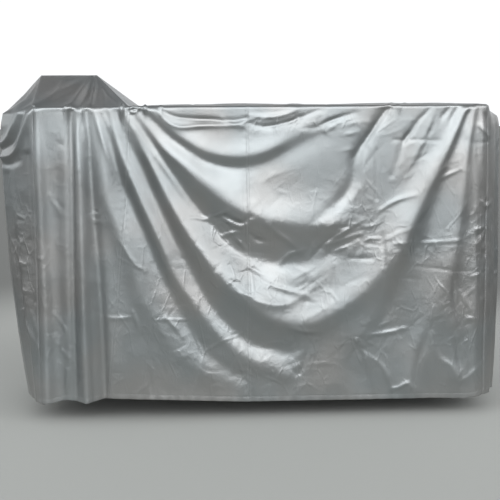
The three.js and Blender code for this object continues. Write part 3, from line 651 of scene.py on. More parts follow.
class CoverShape:
    """The hanging shape of the whole cover, as points over its charts."""

    CREASE_SEED = 5
    WAVER_SEED = 7
    CREASE_SCATTER = 0.55
    CREASE_LEANS = 38
    CREASE_BOW = 0.12
    CREASE_WIDTHS = (5, 10)
    CREASE_CREST = 1.25
    DRAWN_IN = 0.9
    DRAWN_REACH = 11
    GATHER = 0.3
    GATHER_PITCH = 36.0
    GATHER_REACH = 20
    FOLD_START = 22
    CREASE_START = 14
    WAVER = 5
    WAVER_CELL = (260, 330)
    HEM_WAVE = 1.5
    HEM_WAVE_REACH = 26
    HEM_WAVE_PITCH = 9.5
    HEM_WAVE_DRIFT = 71
    FLARE_LEVEL = -30.0
    TOP_LIFT = 5
    SLOPE_SAG = 8

    def __init__(self, sizes: CoverSizes) -> None:
        """Prepare the folds.

        Args:
            sizes: Driving sizes of the cover.
        """
        self.sizes = sizes
        rows = SWAG_FOLDS + RIGHT_FOLDS + CORNER_FOLDS + END_FOLDS + BACK_FOLDS
        self.wall_folds = [FoldLine(row) for row in rows]
        self.creases = [FoldLine(row) for row in EDGE_CREASES + FINE_CREASES] + self._crumples()
        self.hood_creases = [FoldLine(row, sizes.half_depth) for row in HOOD_CREASES]
        self.flare_folds = [FoldLine(row) for row in FLARE_FOLDS]
        self.top_creases = [FoldLine(row) for row in TOP_CREASES]
        self.noise = Noise(self.WAVER_SEED)

    def _crumples(self) -> List[FoldLine]:
        """Draw the short creases of the crumpled patches at random.

        Returns:
            The creases.
        """
        draw = np.random.default_rng(self.CREASE_SEED)
        lines = []
        for patch in CRUMPLED:
            for _ in range(patch.count):
                scatter = draw.normal(0, self.CREASE_SCATTER, 2) * (patch.wide, patch.high)
                middle = np.array([patch.u, patch.z]) + scatter
                lean = math.radians(patch.lean + draw.normal(0, self.CREASE_LEANS))
                reach = 0.5 * patch.length * draw.uniform(0.4, 1.5)
                way = np.array([math.cos(lean), math.sin(lean)])
                bow = np.array([-way[1], way[0]]) * reach * draw.normal(0, self.CREASE_BOW)
                path = (middle - way * reach, middle + bow, middle + way * reach)
                rise = patch.rise * draw.uniform(0.5, 1.6) * draw.choice((-1, 1))
                left, right = draw.uniform(*self.CREASE_WIDTHS, 2)
                row = Fold(path, (0.3 * rise, rise, 0.2 * rise), left, right, self.CREASE_CREST)
                lines.append(FoldLine(row))
        return lines

    def footprint(self, u: Array) -> Tuple[Array, Array]:
        """Give the top edge's outline and its outward direction.

        Args:
            u: Places round the top edge, in millimetres.

        Returns:
            Points (x, y) and unit directions.
        """
        s, r = self.sizes, self.sizes.corner_radius
        corners = (
            (-s.turn, s.left, s.half_depth, 0.5),
            (s.left, s.left, -s.half_depth, 1.0),
            (s.right, s.right, -s.half_depth, 1.5),
            (s.turn, s.right, s.half_depth, 0.0),
            (s.close, s.left, s.half_depth, 0.5),
        )
        at, x, y, _ = zip(*corners)
        foot = np.stack([np.interp(u, at, x), np.interp(u, at, y)], axis=-1)
        sides = np.array([(-1, 0), (0, -1), (1, 0), (0, 1)], float)
        way = sides[np.searchsorted(at[1:4], u)]
        for at, x, y, angle in corners:
            near = np.abs(u - at) < r
            turn = angle * math.pi + (u[near] - at + r) / (2 * r) * 0.5 * math.pi
            way[near] = np.stack([np.cos(turn), np.sin(turn)], axis=-1)
            foot[near] = (x - math.copysign(r, x), y - math.copysign(r, y)) + way[near] * r
        return foot, way

    def corner_cut(self, y: Array) -> Array:
        """Give how far the rounded corners draw the ends of a row over the top in."""
        r = self.sizes.corner_radius
        return r - np.sqrt(r**2 - np.clip(np.abs(y) - (self.sizes.half_depth - r), 0, r) ** 2)

    def up_hood(self, y: Array) -> Array:
        """Give the share of the way from the hood's foot up to its ridge."""
        return 1 - np.minimum(1, np.abs(y) / self.sizes.flat_depth)

    def gable(self, y: Array) -> Tuple[Array, Array]:
        """Give the hood's left edge.

        Args:
            y: Places along the edge from front to back.

        Returns:
            The x and z of the edge.
        """
        s, share = self.sizes, self.up_hood(y)
        x = s.left + 0.3 * s.edge_radius + self.corner_cut(y)
        return x + (s.ridge_left - x) * share, s.thickness + s.hood_rise * share

    def hip_x(self, y: Array) -> Array:
        """Give the x of the hood's right edge, where the gusset joins it.

        Args:
            y: Places from front to back.

        Returns:
            The x of the edge.
        """
        s = self.sizes
        start = np.where(y < 0, s.hood_foot_front, s.hood_foot_back)
        return start + (s.ridge_right - start) * self.up_hood(y)

    def seam_pull(self, u: Array, z: Array) -> Array:
        """Give how the cloth is drawn in and gathered beside the long seams.

        Args:
            u: Places round the walls.
            z: Heights.

        Returns:
            The distance out at each place, in millimetres.
        """
        s = self.sizes
        back = s.turn + s.right
        out = np.zeros(u.shape)
        gather = self.GATHER * np.sin(2 * math.pi * z / self.GATHER_PITCH + 2.2 * np.sin(z / 130))
        for line in (between(HOOD_SEAM, z), s.middle_seam, back - s.hood_foot_back, back - s.middle_seam):
            d = np.abs(u - line)
            out -= self.DRAWN_IN * np.exp(-((d / self.DRAWN_REACH) ** 2))
            out += gather * np.exp(-((d / self.GATHER_REACH) ** 2)) * np.sign(u - line) * smooth(d, 0, 9)
        return out

    def swell(self, u: Array, z: Array, low: Array) -> Array:
        """Give how far each wall bows out as a whole.

        Args:
            u: Places round the walls.
            z: Heights.
            low: The same heights, none over 0.

        Returns:
            The distance out at each place, in millimetres.
        """
        s = self.sizes
        head = self.gable(-s.half_depth + (s.left - u))[1]
        fade = np.where(z > self.FLARE_LEVEL, np.clip((head - z) / (head - self.FLARE_LEVEL), 0, 1), 1.0)
        left = np.clip(np.minimum(u + s.turn, s.left - u) / s.end_ramp, 0, 1) * fade
        right = np.clip(np.minimum(u - s.right, s.turn - u) / s.end_ramp, 0, 1)
        front = u <= s.right
        edge = np.where(front, np.minimum(u - s.left, s.right - u), np.minimum(u - s.turn, s.close - u))
        bow = smooth(edge, 0, np.where((u > 0) & front, s.bow_right, s.bow_ramp))
        steps = np.linspace(-70, 70, 9)
        flat = sum(between(FRONT_SWELL, low + step) for step in steps) / len(steps) * bow
        ends = np.where((u > s.right) & (u < s.turn), between(RIGHT_SWELL, low) * right, flat)
        return np.where(u < s.left, between(LEFT_SWELL, low) * left, ends)

    def stand_out(self, u: Array, z: Array, foot: Array) -> Array:
        """Give how far the cloth stands out from the top edge's outline.

        Args:
            u: Places round the walls.
            z: Heights.
            foot: Points (x, y) of the outline at these places.

        Returns:
            The distance out at each place, in millimetres.
        """
        s = self.sizes
        low = np.minimum(z, 0.0)
        out = sum(line.height(u, z) for line in self.wall_folds) * smooth(-low, 0, self.FOLD_START)
        fine = self.seam_pull(u, low) + sum(line.height(u, z) for line in self.creases)
        place = np.concatenate([foot / self.WAVER_CELL[0], z[..., None] / self.WAVER_CELL[1]], axis=-1)
        fine += self.WAVER * self.noise.at(place) * smooth(-low, 0, 300)
        out += fine * smooth(-low, 0, self.CREASE_START)
        wave = self.HEM_WAVE * np.sin(u / self.HEM_WAVE_PITCH + 2 * np.sin(u / self.HEM_WAVE_DRIFT))
        near_hem = np.exp(-np.abs(z - between(HEM_LEVEL, u)) / self.HEM_WAVE_REACH)
        out += wave * near_hem * smooth(np.minimum(u + s.turn, s.close - u), 0, 40)
        return out + self.swell(u, z, low)

    def wall(self, u: Array, z: Array, tuck: Array) -> Array:
        """Give points of the walls.

        Args:
            u: Places round the walls.
            z: Heights.
            tuck: How far each point lies inside of the cloth's outside.

        Returns:
            The points, in millimetres.
        """
        s = self.sizes
        foot, way = self.footprint(u)
        rise = np.clip(z - s.eave, 0, s.edge_radius)
        inset = s.edge_radius - np.sqrt(s.edge_radius**2 - rise**2)
        out = self.stand_out(u, z, foot) - inset - tuck
        return np.concatenate([foot + way * out[..., None], z[..., None]], axis=-1)

    def top(self, x: Array, y: Array) -> Array:
        """Give points of the flat top.

        Args:
            x: Places along the length.
            y: Places along the depth.

        Returns:
            The points, in millimetres.
        """
        s = self.sizes
        to_edge = np.minimum(np.minimum(s.half_depth - np.abs(y), s.right - x), x - s.hood_foot_back)
        past = np.clip(x - (s.right - self.corner_cut(y) - s.edge_radius), 0, s.edge_radius)
        drop = s.edge_radius - np.sqrt(s.edge_radius**2 - past**2)
        wave = np.sin(x / 210 + y / 160) * np.sin(x / 330 - y / 120 + 0.6)
        lift = self.TOP_LIFT * wave**2 * smooth(to_edge, 0, 160) * smooth(np.hypot(x, y), 90, 260)
        lift = lift + sum(crease.height(x, y) for crease in self.top_creases) * smooth(to_edge, 0, 60)
        return np.stack([x, y, s.thickness + lift - drop], axis=-1)

    def slope(self, x: Array, y: Array) -> Array:
        """Give points of the hood's two slopes.

        Args:
            x: Places along the length.
            y: Places along the depth.

        Returns:
            The points, in millimetres.
        """
        s, share = self.sizes, self.up_hood(y)
        lift = -self.SLOPE_SAG * np.sin(math.pi * share) * smooth(x, s.left, s.left + s.bow_ramp)
        creased = sum(crease.height(x, share * s.half_depth) for crease in self.hood_creases)
        lift = lift + np.where(y < 0, creased, 0)
        calm = smooth(share, 0, 0.05) * smooth(1 - share, 0, 0.06) * smooth(self.hip_x(y) - x, 0, 40)
        return np.stack([x, y, s.thickness + s.hood_rise * share + lift * calm], axis=-1)


@dataclass
class Sheet:
    """A grid of points that makes one panel.

    Attributes:
        points: Points in millimetres, rows by columns by three.
        chart: Places (u, z) on the cover's chart, rows by columns by two.
        head_seam: True where the last row is sewn to another panel.
        hems: True where the first row is a hem.
    """

    points: Array
    chart: Array
    head_seam: bool = False
    hems: bool = True

    def steps(self) -> Tuple[Array, Array]:
        """Measure the grid.

        Returns:
            Lengths along the rows, from the left, and along the columns, from the first row.
        """
        across = np.linalg.norm(np.diff(self.points, axis=1), axis=2)
        along = np.linalg.norm(np.diff(self.points, axis=0), axis=2)
        u = np.pad(np.cumsum(across, axis=1), ((0, 0), (1, 0)))
        v = np.pad(np.cumsum(along, axis=0), ((1, 0), (0, 0)))
        return u, v

    def from_hem(self, v: Array) -> Array:
        """Give the distance from the nearest hem, for lengths along the columns."""
        return v if self.head_seam else np.minimum(v, v[-1:] - v)

    def flat(self) -> Array:
        """Lay the sheet out flat, by the mean lengths of its rows and columns, in metres."""
        u, v = self.steps()
        return np.stack(np.meshgrid(u.mean(axis=0), v.mean(axis=1)), axis=-1) * MM

    def cut_size(self) -> Tuple[float, float, float]:
        """Give the size that the panel is cut to.

        Returns:
            Width, length and area of the flat cloth, in metres and square metres.
        """
        u, v = self.steps()
        widths = u[:, -1] * MM
        run = v.mean(axis=1) * MM
        area = float(np.sum((widths[1:] + widths[:-1]) / 2 * np.diff(run)))
        return float(widths.max()), float(run[-1]), area

    def normals(self) -> Array:
        """Give the unit direction out of the sheet at each point."""
        n = np.cross(np.gradient(self.points, axis=1), np.gradient(self.points, axis=0))
        return n / np.maximum(np.linalg.norm(n, axis=-1, keepdims=True), 1e-9)


class Finisher:
    """Crumples the sheets, stands their seams up and adds the pinches at the top edge."""

    SEED = 21
    CRUMPLES: Sequence[Tuple[float, float]] = ((130.0, 1.1), (60.0, 0.5))
    CRUMPLE_START = (4, 42)
    CREST = 0.34
    CREST_ROUND = 0.0012
    BEND = 26
    BEND_CELL = 90
    LIP_WIDTH = 12
    STITCH_LINE = 6.5
    HEM_GROOVE = 0.5
    KNOT: Point = (-628, -12.5)
    KNOT_RING = 19
    KNOT_WIDTH = 6
    KNOT_RISE = 5
    KNOT_HOLE = 10

    def __init__(self, sizes: CoverSizes) -> None:
        """Keep the sizes and prepare the noise."""
        self.sizes = sizes
        self.noise = Noise(self.SEED)

    def finish(self, sheet: Sheet) -> None:
        """Move a sheet's points along the directions out of it.

        Args:
            sheet: The sheet, whose points are changed.
        """
        u, v = sheet.steps()
        seam = np.minimum(u, u[:, -1:] - u)
        if sheet.head_seam:
            seam = np.minimum(seam, v[-1:] - v)
        hem = sheet.from_hem(v) - 2 * self.sizes.hem_width - 1
        free = np.minimum(seam, hem) if sheet.hems else seam
        lift = self._crumple(sheet) * smooth(free, *self.CRUMPLE_START) + self._lip(seam) + self._pinch(sheet)
        if sheet.hems:
            lift -= self.HEM_GROOVE * np.exp(-((hem / 1.5) ** 2))
        sheet.points = sheet.points + sheet.normals() * lift[..., None]

    def _crumple(self, sheet: Sheet) -> Array:
        """Give the height of the crumples.

        Args:
            sheet: The sheet.

        Returns:
            The height at each point, in millimetres.
        """
        p = sheet.points
        drift = [self.noise.at(p / self.BEND_CELL + k) for k in (11.1, 23.7, 35.9)]
        bent = p + self.BEND * np.stack(drift, axis=-1)
        height = np.zeros(p.shape[:-1])
        for wave, rise in self.CRUMPLES:
            n = self.noise.at(bent / wave + wave)
            height += rise * (self.CREST - np.sqrt(n * n + self.CREST_ROUND)) * 2
        return height * crumpling(sheet.chart[..., 0], sheet.chart[..., 1])

    def _lip(self, distance: Array) -> Array:
        """Give the height of the sewn lip, with its line of stitches, at a distance from a seam."""
        lip = 0.4 * smooth(distance, 0, 2) * (1 - smooth(distance, self.LIP_WIDTH - 3, self.LIP_WIDTH))
        return lip - 0.25 * np.exp(-((distance - self.STITCH_LINE) ** 2) / 1.2)

    def _pinch(self, sheet: Sheet) -> Array:
        """Give the height of the pinches and the knot at the top's front edge.

        Args:
            sheet: The sheet.

        Returns:
            The height at each point, in millimetres.
        """
        x, z = sheet.chart[..., 0], sheet.chart[..., 1]
        height = np.zeros(x.shape)
        for pinch in PINCHES:
            run = np.where(z <= 0, -z / pinch.down, z / pinch.back)
            height += pinch.height * np.exp(-(((x - pinch.x) / pinch.width) ** 2) - run**2)
        across, up = x - self.KNOT[0], (z - self.KNOT[1]) * 1.2
        ring = np.hypot(across, up)
        turn = np.arctan2(up, across)
        reach = self.KNOT_RING + 4 * np.sin(2 * turn + 0.6) + 3 * np.sin(5 * turn)
        lobes = self.KNOT_RISE + 3 * np.sin(3 * turn + 1.1)
        lobes = lobes * np.exp(-((ring - reach) / self.KNOT_WIDTH) ** 2)
        return height + lobes - self.KNOT_RISE * np.exp(-((ring / self.KNOT_HOLE) ** 2))


class StripCutter:
    """Cuts the strips that run up the front, over the top and down the back."""

    FRONT_STEP = 7.6
    TOP_STEP = 28.0
    BACK_STEP = 17.0
    EDGE_COLUMNS = (0.0, 1.5, 4.0, 6.5, 9.0, 12.0, 17.0)
    HEM_ROWS = (1.0, 6.0, 13.0, 21.0, 24.0, 27.0)
    TOP_ROWS = (0.02, 0.045)

    def __init__(self, shape: CoverShape) -> None:
        """Set the rows that all the strips share.

        Args:
            shape: The cover's hanging shape.
        """
        self.shape = shape
        count = 2 * round(shape.sizes.half_depth / self.TOP_STEP) - 3
        near, far = self.TOP_ROWS
        self.over = np.array([0, near, *np.linspace(far, 1 - far, count), 1 - near, 1])

    def wall_rows(self, step: float) -> Tuple[Array, Array]:
        """Give the rows of a wall, from the turned-in edge of the hem to the eave.

        Args:
            step: Height of a row, in millimetres.

        Returns:
            Share of the way up, and how far the row is tucked in.
        """
        s = self.shape.sizes
        inner = 2 * s.cloth + 0.1
        count = round((s.drop - self.HEM_ROWS[-1]) / step)
        up = np.concatenate([self.HEM_ROWS, np.linspace(self.HEM_ROWS[-1], s.drop, count + 1)[1:]])
        hem = (s.hem_width, s.hem_width / 2, 1.0, 0.0)
        tuck = np.concatenate([[inner, inner, inner, inner / 2], np.zeros(up.shape)])
        return np.concatenate([hem, up]) / s.drop, tuck

    def seam_x(self, seam: Seam, part: Part, t: Array) -> Array:
        """Give the place of a long edge on rows.

        Args:
            seam: Which edge.
            part: The rows' part of the strip.
            t: Share of the way up a wall, or from front to back over the top.

        Returns:
            The x of the edge on each row, in millimetres.
        """
        s = self.shape.sizes
        fixed = {Seam.MIDDLE: s.middle_seam, Seam.LEFT: s.left, Seam.RIGHT: s.right}
        if seam in fixed:
            return np.full(t.shape, fixed[seam])
        if part is Part.FRONT:
            return between(HOOD_SEAM, -s.drop * (1 - t))
        if part is Part.BACK:
            return np.full(t.shape, s.hood_foot_back)
        if seam is Seam.HOOD:
            return s.hood_foot_front + (s.hood_foot_back - s.hood_foot_front) * t
        return self.shape.hip_x((2 * t - 1) * s.flat_depth)

    def columns(self, width: Array, count: int) -> Array:
        """Share rows out, with narrow columns beside their two seams.

        Args:
            width: Width of each row, in millimetres.
            count: Number of wide columns.

        Returns:
            Share of the way across, rows by columns.
        """
        edge = np.array(self.EDGE_COLUMNS) / width[:, None]
        share = np.linspace(0, 1, count + 1)[1:-1]
        middle = edge[:, -1:] + (1 - 2 * edge[:, -1:]) * share
        return np.concatenate([edge, middle, 1 - edge[:, ::-1]], axis=1)

    def cut(self, left: Seam, right: Seam, step: float) -> Sheet:
        """Make a strip between two of the long edges.

        Args:
            left: The edge on the left.
            right: The edge on the right.
            step: Width of a column, in millimetres.

        Returns:
            The strip's sheet.
        """
        hem = np.zeros(1)
        width = self.seam_x(right, Part.FRONT, hem) - self.seam_x(left, Part.FRONT, hem)
        count = round(float(width[0]) / step)
        front = self._wall(left, right, Part.FRONT, self.FRONT_STEP, count)
        top = self._top(left, right, count)
        back = self._wall(left, right, Part.BACK, self.BACK_STEP, count)
        return Sheet(*(np.concatenate([a, b, c[::-1]]) for a, b, c in zip(front, top, back)))

    def _wall(self, left: Seam, right: Seam, part: Part, step: float, count: int) -> Tuple[Array, Array]:
        """Make a strip's rows on the front or the back, with the rounded edge over them.

        Args:
            left: The edge on the left.
            right: The edge on the right.
            part: Front or back.
            step: Height of a row, in millimetres.
            count: Number of wide columns.

        Returns:
            Points and chart, from the hem up.
        """
        s = self.shape.sizes
        share, tuck = self.wall_rows(step)
        turns = np.array([0.25, 0.5, 0.75])
        t = np.concatenate([share, np.ones(turns.shape)])
        tuck = np.concatenate([tuck, np.zeros(turns.shape)])
        a, b = self.seam_x(left, part, t), self.seam_x(right, part, t)
        x = a[:, None] + (b - a)[:, None] * self.columns(b - a, count)
        u = x if part is Part.FRONT else s.turn + s.right - x
        z = between(HEM_LEVEL, u) * (1 - t[:, None]) + s.eave * t[:, None]
        z[-len(turns):] = s.eave + s.edge_radius * np.sin(turns * math.pi / 2)[:, None]
        points = self.shape.wall(u, z, np.broadcast_to(tuck[:, None], u.shape))
        return points, np.stack([u, z], axis=-1)

    def _top(self, left: Seam, right: Seam, count: int) -> Tuple[Array, Array]:
        """Make a strip's rows over the top.

        Args:
            left: The edge on the left.
            right: The edge on the right.
            count: Number of wide columns.

        Returns:
            Points and chart, from front to back.
        """
        s, t = self.shape.sizes, self.over
        y = (2 * t - 1) * s.flat_depth
        a, b = self.seam_x(left, Part.TOP, t), self.seam_x(right, Part.TOP, t)
        make = self.shape.top
        if left is Seam.LEFT:
            a, make = self.shape.gable(y)[0], self.shape.slope
        if right is Seam.RIGHT:
            b = b - self.shape.corner_cut(y) - s.round_inset
        x = a[:, None] + (b - a)[:, None] * self.columns(b - a, count)
        depth = np.broadcast_to(y[:, None], x.shape)
        return make(x, depth), np.stack([x, depth + s.half_depth], axis=-1)


class EndCutter:
    """Cuts the two end panels and the hood's gusset."""

    COLUMNS = 92
    FRONT_COLUMNS = 38
    FRONT_WIDTH = 190.0
    STEP = 9.0
    HEAD_ROWS = (12.0, 9.0, 6.5, 4.0, 1.5)
    GUSSET_ROWS = 90
    GUSSET_COLUMNS = 26
    GUSSET_GAP = 0.0008
    GUSSET_SAG = 0.05
    GUSSET_OFF_EDGE = 60

    def __init__(self, shape: CoverShape, strips: StripCutter) -> None:
        """Keep the shape, and the strips for their rows and seams."""
        self.shape = shape
        self.strips = strips

    def _grid(self) -> Tuple[Array, Array, Array]:
        """Lay the grid of an end panel out.

        Returns:
            Places along the depth, share of the way up, and how far the rows are tucked in.
        """
        s = self.shape.sizes
        share = self.strips.columns(np.array([s.depth]), self.COLUMNS)[0]
        front = (self.FRONT_COLUMNS / self.COLUMNS, self.FRONT_WIDTH / s.depth)
        share = np.interp(share, (0, front[0], 1), (0, front[1], 1))
        rows, tuck = self.strips.wall_rows(self.STEP)
        rows = np.concatenate([rows[:-2], 1 - np.array(self.HEAD_ROWS) / s.drop, [1.0]])
        tuck = np.pad(tuck[:-2], (0, len(self.HEAD_ROWS) + 1))
        return -s.half_depth + s.depth * share, rows[:, None], tuck[:, None]

    def left_end(self) -> Sheet:
        """Make the panel under the hood's gable.

        Returns:
            The panel's sheet.
        """
        s, level = self.shape.sizes, self.shape.FLARE_LEVEL
        y, t, tuck = self._grid()
        u = s.left - (y + s.half_depth)
        head_y = np.clip(y, -s.flat_depth, s.flat_depth)
        head_x, head_z = self.shape.gable(head_y)
        z = between(HEM_LEVEL, u) * (1 - t) + head_z * t
        grid_u = np.broadcast_to(u, z.shape)
        points = self.shape.wall(grid_u, np.minimum(z, s.thickness), np.broadcast_to(tuck, z.shape))
        points[..., 2] = z
        flare = self.shape.wall(u, np.full(u.shape, level), np.zeros(u.shape))
        up = np.clip((z - level) / (head_z - level), 0, 1)
        share = np.where(z > level, smooth(head_z, s.thickness, s.thickness + 18), 0.0)
        x = flare[:, 0] + (head_x - flare[:, 0]) * up - self.shape.SLOPE_SAG * np.sin(math.pi * up)
        for line in self.shape.flare_folds:
            x = x - line.height(grid_u, z) * smooth(up, 0, 0.1) * smooth(1 - up, 0, 0.1)
        y = flare[:, 1] + (head_y - flare[:, 1]) * up**3
        points[..., :2] += (np.stack([x, y], axis=-1) - points[..., :2]) * share[..., None]
        points[-1] = np.stack([head_x, head_y, head_z], axis=-1)
        chart = np.stack([grid_u, z], axis=-1)
        return Sheet(points[:, ::-1], chart[:, ::-1], head_seam=True)

    def right_end(self) -> Sheet:
        """Make the panel at the right.

        Returns:
            The panel's sheet.
        """
        s = self.shape.sizes
        y, t, tuck = self._grid()
        u = s.right + (y + s.half_depth)
        z = between(HEM_LEVEL, u) * (1 - t) + (s.thickness - s.round_inset) * t
        grid_u = np.broadcast_to(u, z.shape)
        points = self.shape.wall(grid_u, z, np.broadcast_to(tuck, z.shape))
        return Sheet(points, np.stack([grid_u, z], axis=-1), head_seam=True)

    def gusset(self) -> Sheet:
        """Make the three-cornered panel at the hood's right.

        Returns:
            The panel's sheet.
        """
        s = self.shape.sizes
        t = np.linspace(self.GUSSET_GAP, 1 - self.GUSSET_GAP, self.GUSSET_ROWS + 1)
        y = (2 * t - 1) * s.flat_depth
        rise = s.hood_rise * (1 - np.abs(2 * t - 1))
        hip = np.stack([self.shape.hip_x(y), y, s.thickness + rise], axis=-1)
        foot_x = self.strips.seam_x(Seam.HOOD, Part.TOP, t)
        foot = np.stack([foot_x, y, np.full(y.shape, s.thickness)], axis=-1)
        share = np.linspace(0, 1, self.GUSSET_COLUMNS + 1)[None, :, None]
        points = hip[:, None] + (foot - hip)[:, None] * share
        points[..., 2] -= self.GUSSET_SAG * rise[:, None] * np.sin(math.pi * share[..., 0])
        chart = np.stack([points[..., 0], points[..., 1] + s.half_depth + self.GUSSET_OFF_EDGE], axis=-1)
        return Sheet(points, chart, hems=False)


class Nodes:
    """Fills a tree of shader nodes."""

    def __init__(self, tree: bpy.types.NodeTree) -> None:
        """Keep the tree that is filled."""
        self.tree = tree

    def fill(self, node: bpy.types.Node, inputs: Dict[object, object]) -> None:
        """Set or link inputs of a node.

        Args:
            node: The node.
            inputs: A value or a socket for each input, by name or number.
        """
        for name, value in inputs.items():
            if isinstance(value, Socket):
                self.tree.links.new(value, node.inputs[name])
            else:
                node.inputs[name].default_value = value

    def add(self, kind: str, inputs: Optional[Dict[object, object]] = None, **settings: object
            ) -> bpy.types.NodeOutputs:
        """Add a node.

        Args:
            kind: Blender's name for the node, without ShaderNode before it.
            inputs: A value or a socket for each input that is set.
            **settings: Settings of the node itself.

        Returns:
            The node's outputs.
        """
        node = self.tree.nodes.new(f"ShaderNode{kind}")
        for name, value in settings.items():
            setattr(node, name, value)
        self.fill(node, inputs or {})
        return node.outputs

    def math(self, kind: str, *values: object) -> Socket:
        """Work numbers or sockets out by an operation, such as MULTIPLY."""
        return self.add("Math", dict(enumerate(values)), operation=kind)[0]

    def mix(self, share: Socket, first: object, second: object) -> Socket:
        """Mix two colours, by the share of the second."""
        return self.add("Mix", {"Factor": share, 6: first, 7: second}, data_type="RGBA")[2]

    def ease(self, value: Socket, **ends: object) -> Socket:
        """Map a value smoothly from one range to another, whose ends are named like from_min."""
        inputs = {name.replace("_", " ").title(): end for name, end in ends.items()}
        return self.add("MapRange", {"Value": value, **inputs}, interpolation_type="SMOOTHSTEP")["Result"]

    def effect(self, group: bpy.types.NodeTree, **inputs: object) -> Socket:
        """Place a shared effect, whose inputs are given in small letters, and give its output."""
        named = {name.title(): value for name, value in inputs.items()}
        return self.add("Group", named, node_tree=group)[0]

    def bump(self, height: Socket, rise: float, normal: Optional[Socket]) -> Socket:
        """Turn a height, whose 1 stands at the rise in metres, into a normal that starts from another."""
        start = {"Normal": normal} if normal else {}
        return self.add("Bump", {"Strength": 1.0, "Distance": rise, "Height": height, **start})["Normal"]


class Effect(Nodes):
    """A shared shader effect: a node group that makes one number."""

    def __init__(self, name: str, place: str, *numbers: str) -> None:
        """Start the group.

        Args:
            name: The group's name.
            place: Name of the input that takes a place.
            *numbers: Names of the inputs that take numbers.
        """
        super().__init__(bpy.data.node_groups.new(name, "ShaderNodeTree"))
        for label in (place, *numbers):
            kind = "NodeSocketVector" if label == place else "NodeSocketFloat"
            self.tree.interface.new_socket(label, in_out="INPUT", socket_type=kind)
        self.inside = self.tree.nodes.new("NodeGroupInput").outputs

    def give(self, label: str, value: Socket) -> bpy.types.NodeTree:
        """End the group.

        Args:
            label: Name of the output.
            value: What it gives.

        Returns:
            The group.
        """
        self.tree.interface.new_socket(label, in_out="OUTPUT", socket_type="NodeSocketFloat")
        self.fill(self.tree.nodes.new("NodeGroupOutput"), {label: value})
        return self.tree


class ShaderEffects:
    """Shared shader effects, each a node group with named inputs and one output."""

    def __init__(self) -> None:
        """Build the groups once."""
        self.patches = self._patches()
        self.crinkle = self._crinkle()
        self.creases = self._creases()
        self.weave = self._weave()
        self.stitches = self._stitches()

    @staticmethod
    def _patches() -> bpy.types.NodeTree:
        """Make soft patches, as a mask from 0 to 1.

        Returns:
            The group.
        """
        group = Effect("patches", "Vector", "Size")
        place, size = group.inside["Vector"], group.inside["Size"]
        noise = group.add("TexNoise", {"Vector": place, "Scale": size, "Detail": 2.0})
        return group.give("Mask", group.ease(noise["Fac"], from_min=0.38, from_max=0.66))

    @staticmethod
    def _crinkle() -> bpy.types.NodeTree:
        """Make the sharp little crests between the flat facets of crumpled cloth, as a height.

        Returns:
            The group.
        """
        group = Effect("crinkle", "Vector", "Size")
        place, size = group.inside["Vector"], group.inside["Size"]
        broad = group.math("MULTIPLY", size, 0.35)
        bend = group.add("TexNoise", {"Vector": place, "Scale": broad, "Detail": 2.0})
        shift = group.add("VectorMath", {0: bend["Color"], 1: (0.09, 0.09, 0.09), 2: place},
                          operation="MULTIPLY_ADD")
        facet = group.add("TexVoronoi", {"Vector": shift["Vector"], "Scale": size})
        return group.give("Height", group.math("POWER", facet["Distance"], 1.6))

    @staticmethod
    def _creases() -> bpy.types.NodeTree:
        """Make a broken net of straight creases, as a height.

        Returns:
            The group.
        """
        group = Effect("creases", "Vector", "Size", "Width")
        place, size = group.inside["Vector"], group.inside["Size"]
        slant = group.add("Mapping", {"Vector": place, "Rotation": (0.0, math.radians(35), math.radians(20)),
                                      "Scale": (1.0, 1.0, 0.5)})
        net = group.add("TexVoronoi", {"Vector": slant["Vector"], "Scale": size}, feature="DISTANCE_TO_EDGE")
        line = group.ease(net["Distance"], from_max=group.inside["Width"], to_min=1.0, to_max=0.0)
        broken = group.add("TexNoise", {"Vector": place, "Scale": size, "Detail": 1.0})
        keep = group.add("MapRange", {"Value": broken["Fac"], "From Min": 0.46, "From Max": 0.6})
        return group.give("Height", group.math("MULTIPLY", line, keep["Result"]))

    @staticmethod
    def _weave() -> bpy.types.NodeTree:
        """Make the crossing yarns of plain cloth, as a height.

        Returns:
            The group.
        """
        group = Effect("weave", "Vector", "Yarns")
        split = group.add("SeparateXYZ", {"Vector": group.inside["Vector"]})
        turn = group.math("MULTIPLY", group.inside["Yarns"], 2 * math.pi)
        rows = [group.math("SINE", group.math("MULTIPLY", split[axis], turn)) for axis in "XY"]
        return group.give("Height", group.math("MULTIPLY", *rows))

    @staticmethod
    def _stitches() -> bpy.types.NodeTree:
        """Make a row of stitches along an edge, as a mask of the thread.

        Returns:
            The group.
        """
        group = Effect("stitch_row", "Run", "Line", "Pitch")
        split = group.add("SeparateXYZ", {"Vector": group.inside["Run"]})
        off = group.math("ABSOLUTE", group.math("SUBTRACT", split["X"], group.inside["Line"]))
        near = group.add("MapRange", {"Value": off, "From Min": 0.0009, "From Max": 0.0004})
        step = group.math("FRACT", group.math("DIVIDE", split["Y"], group.inside["Pitch"]))
        wave = group.math("ABSOLUTE", group.math("SUBTRACT", step, 0.5))
        length = group.add("MapRange", {"Value": wave, "From Min": 0.42, "From Max": 0.3})
        return group.give("Thread", group.math("MULTIPLY", near["Result"], length["Result"]))


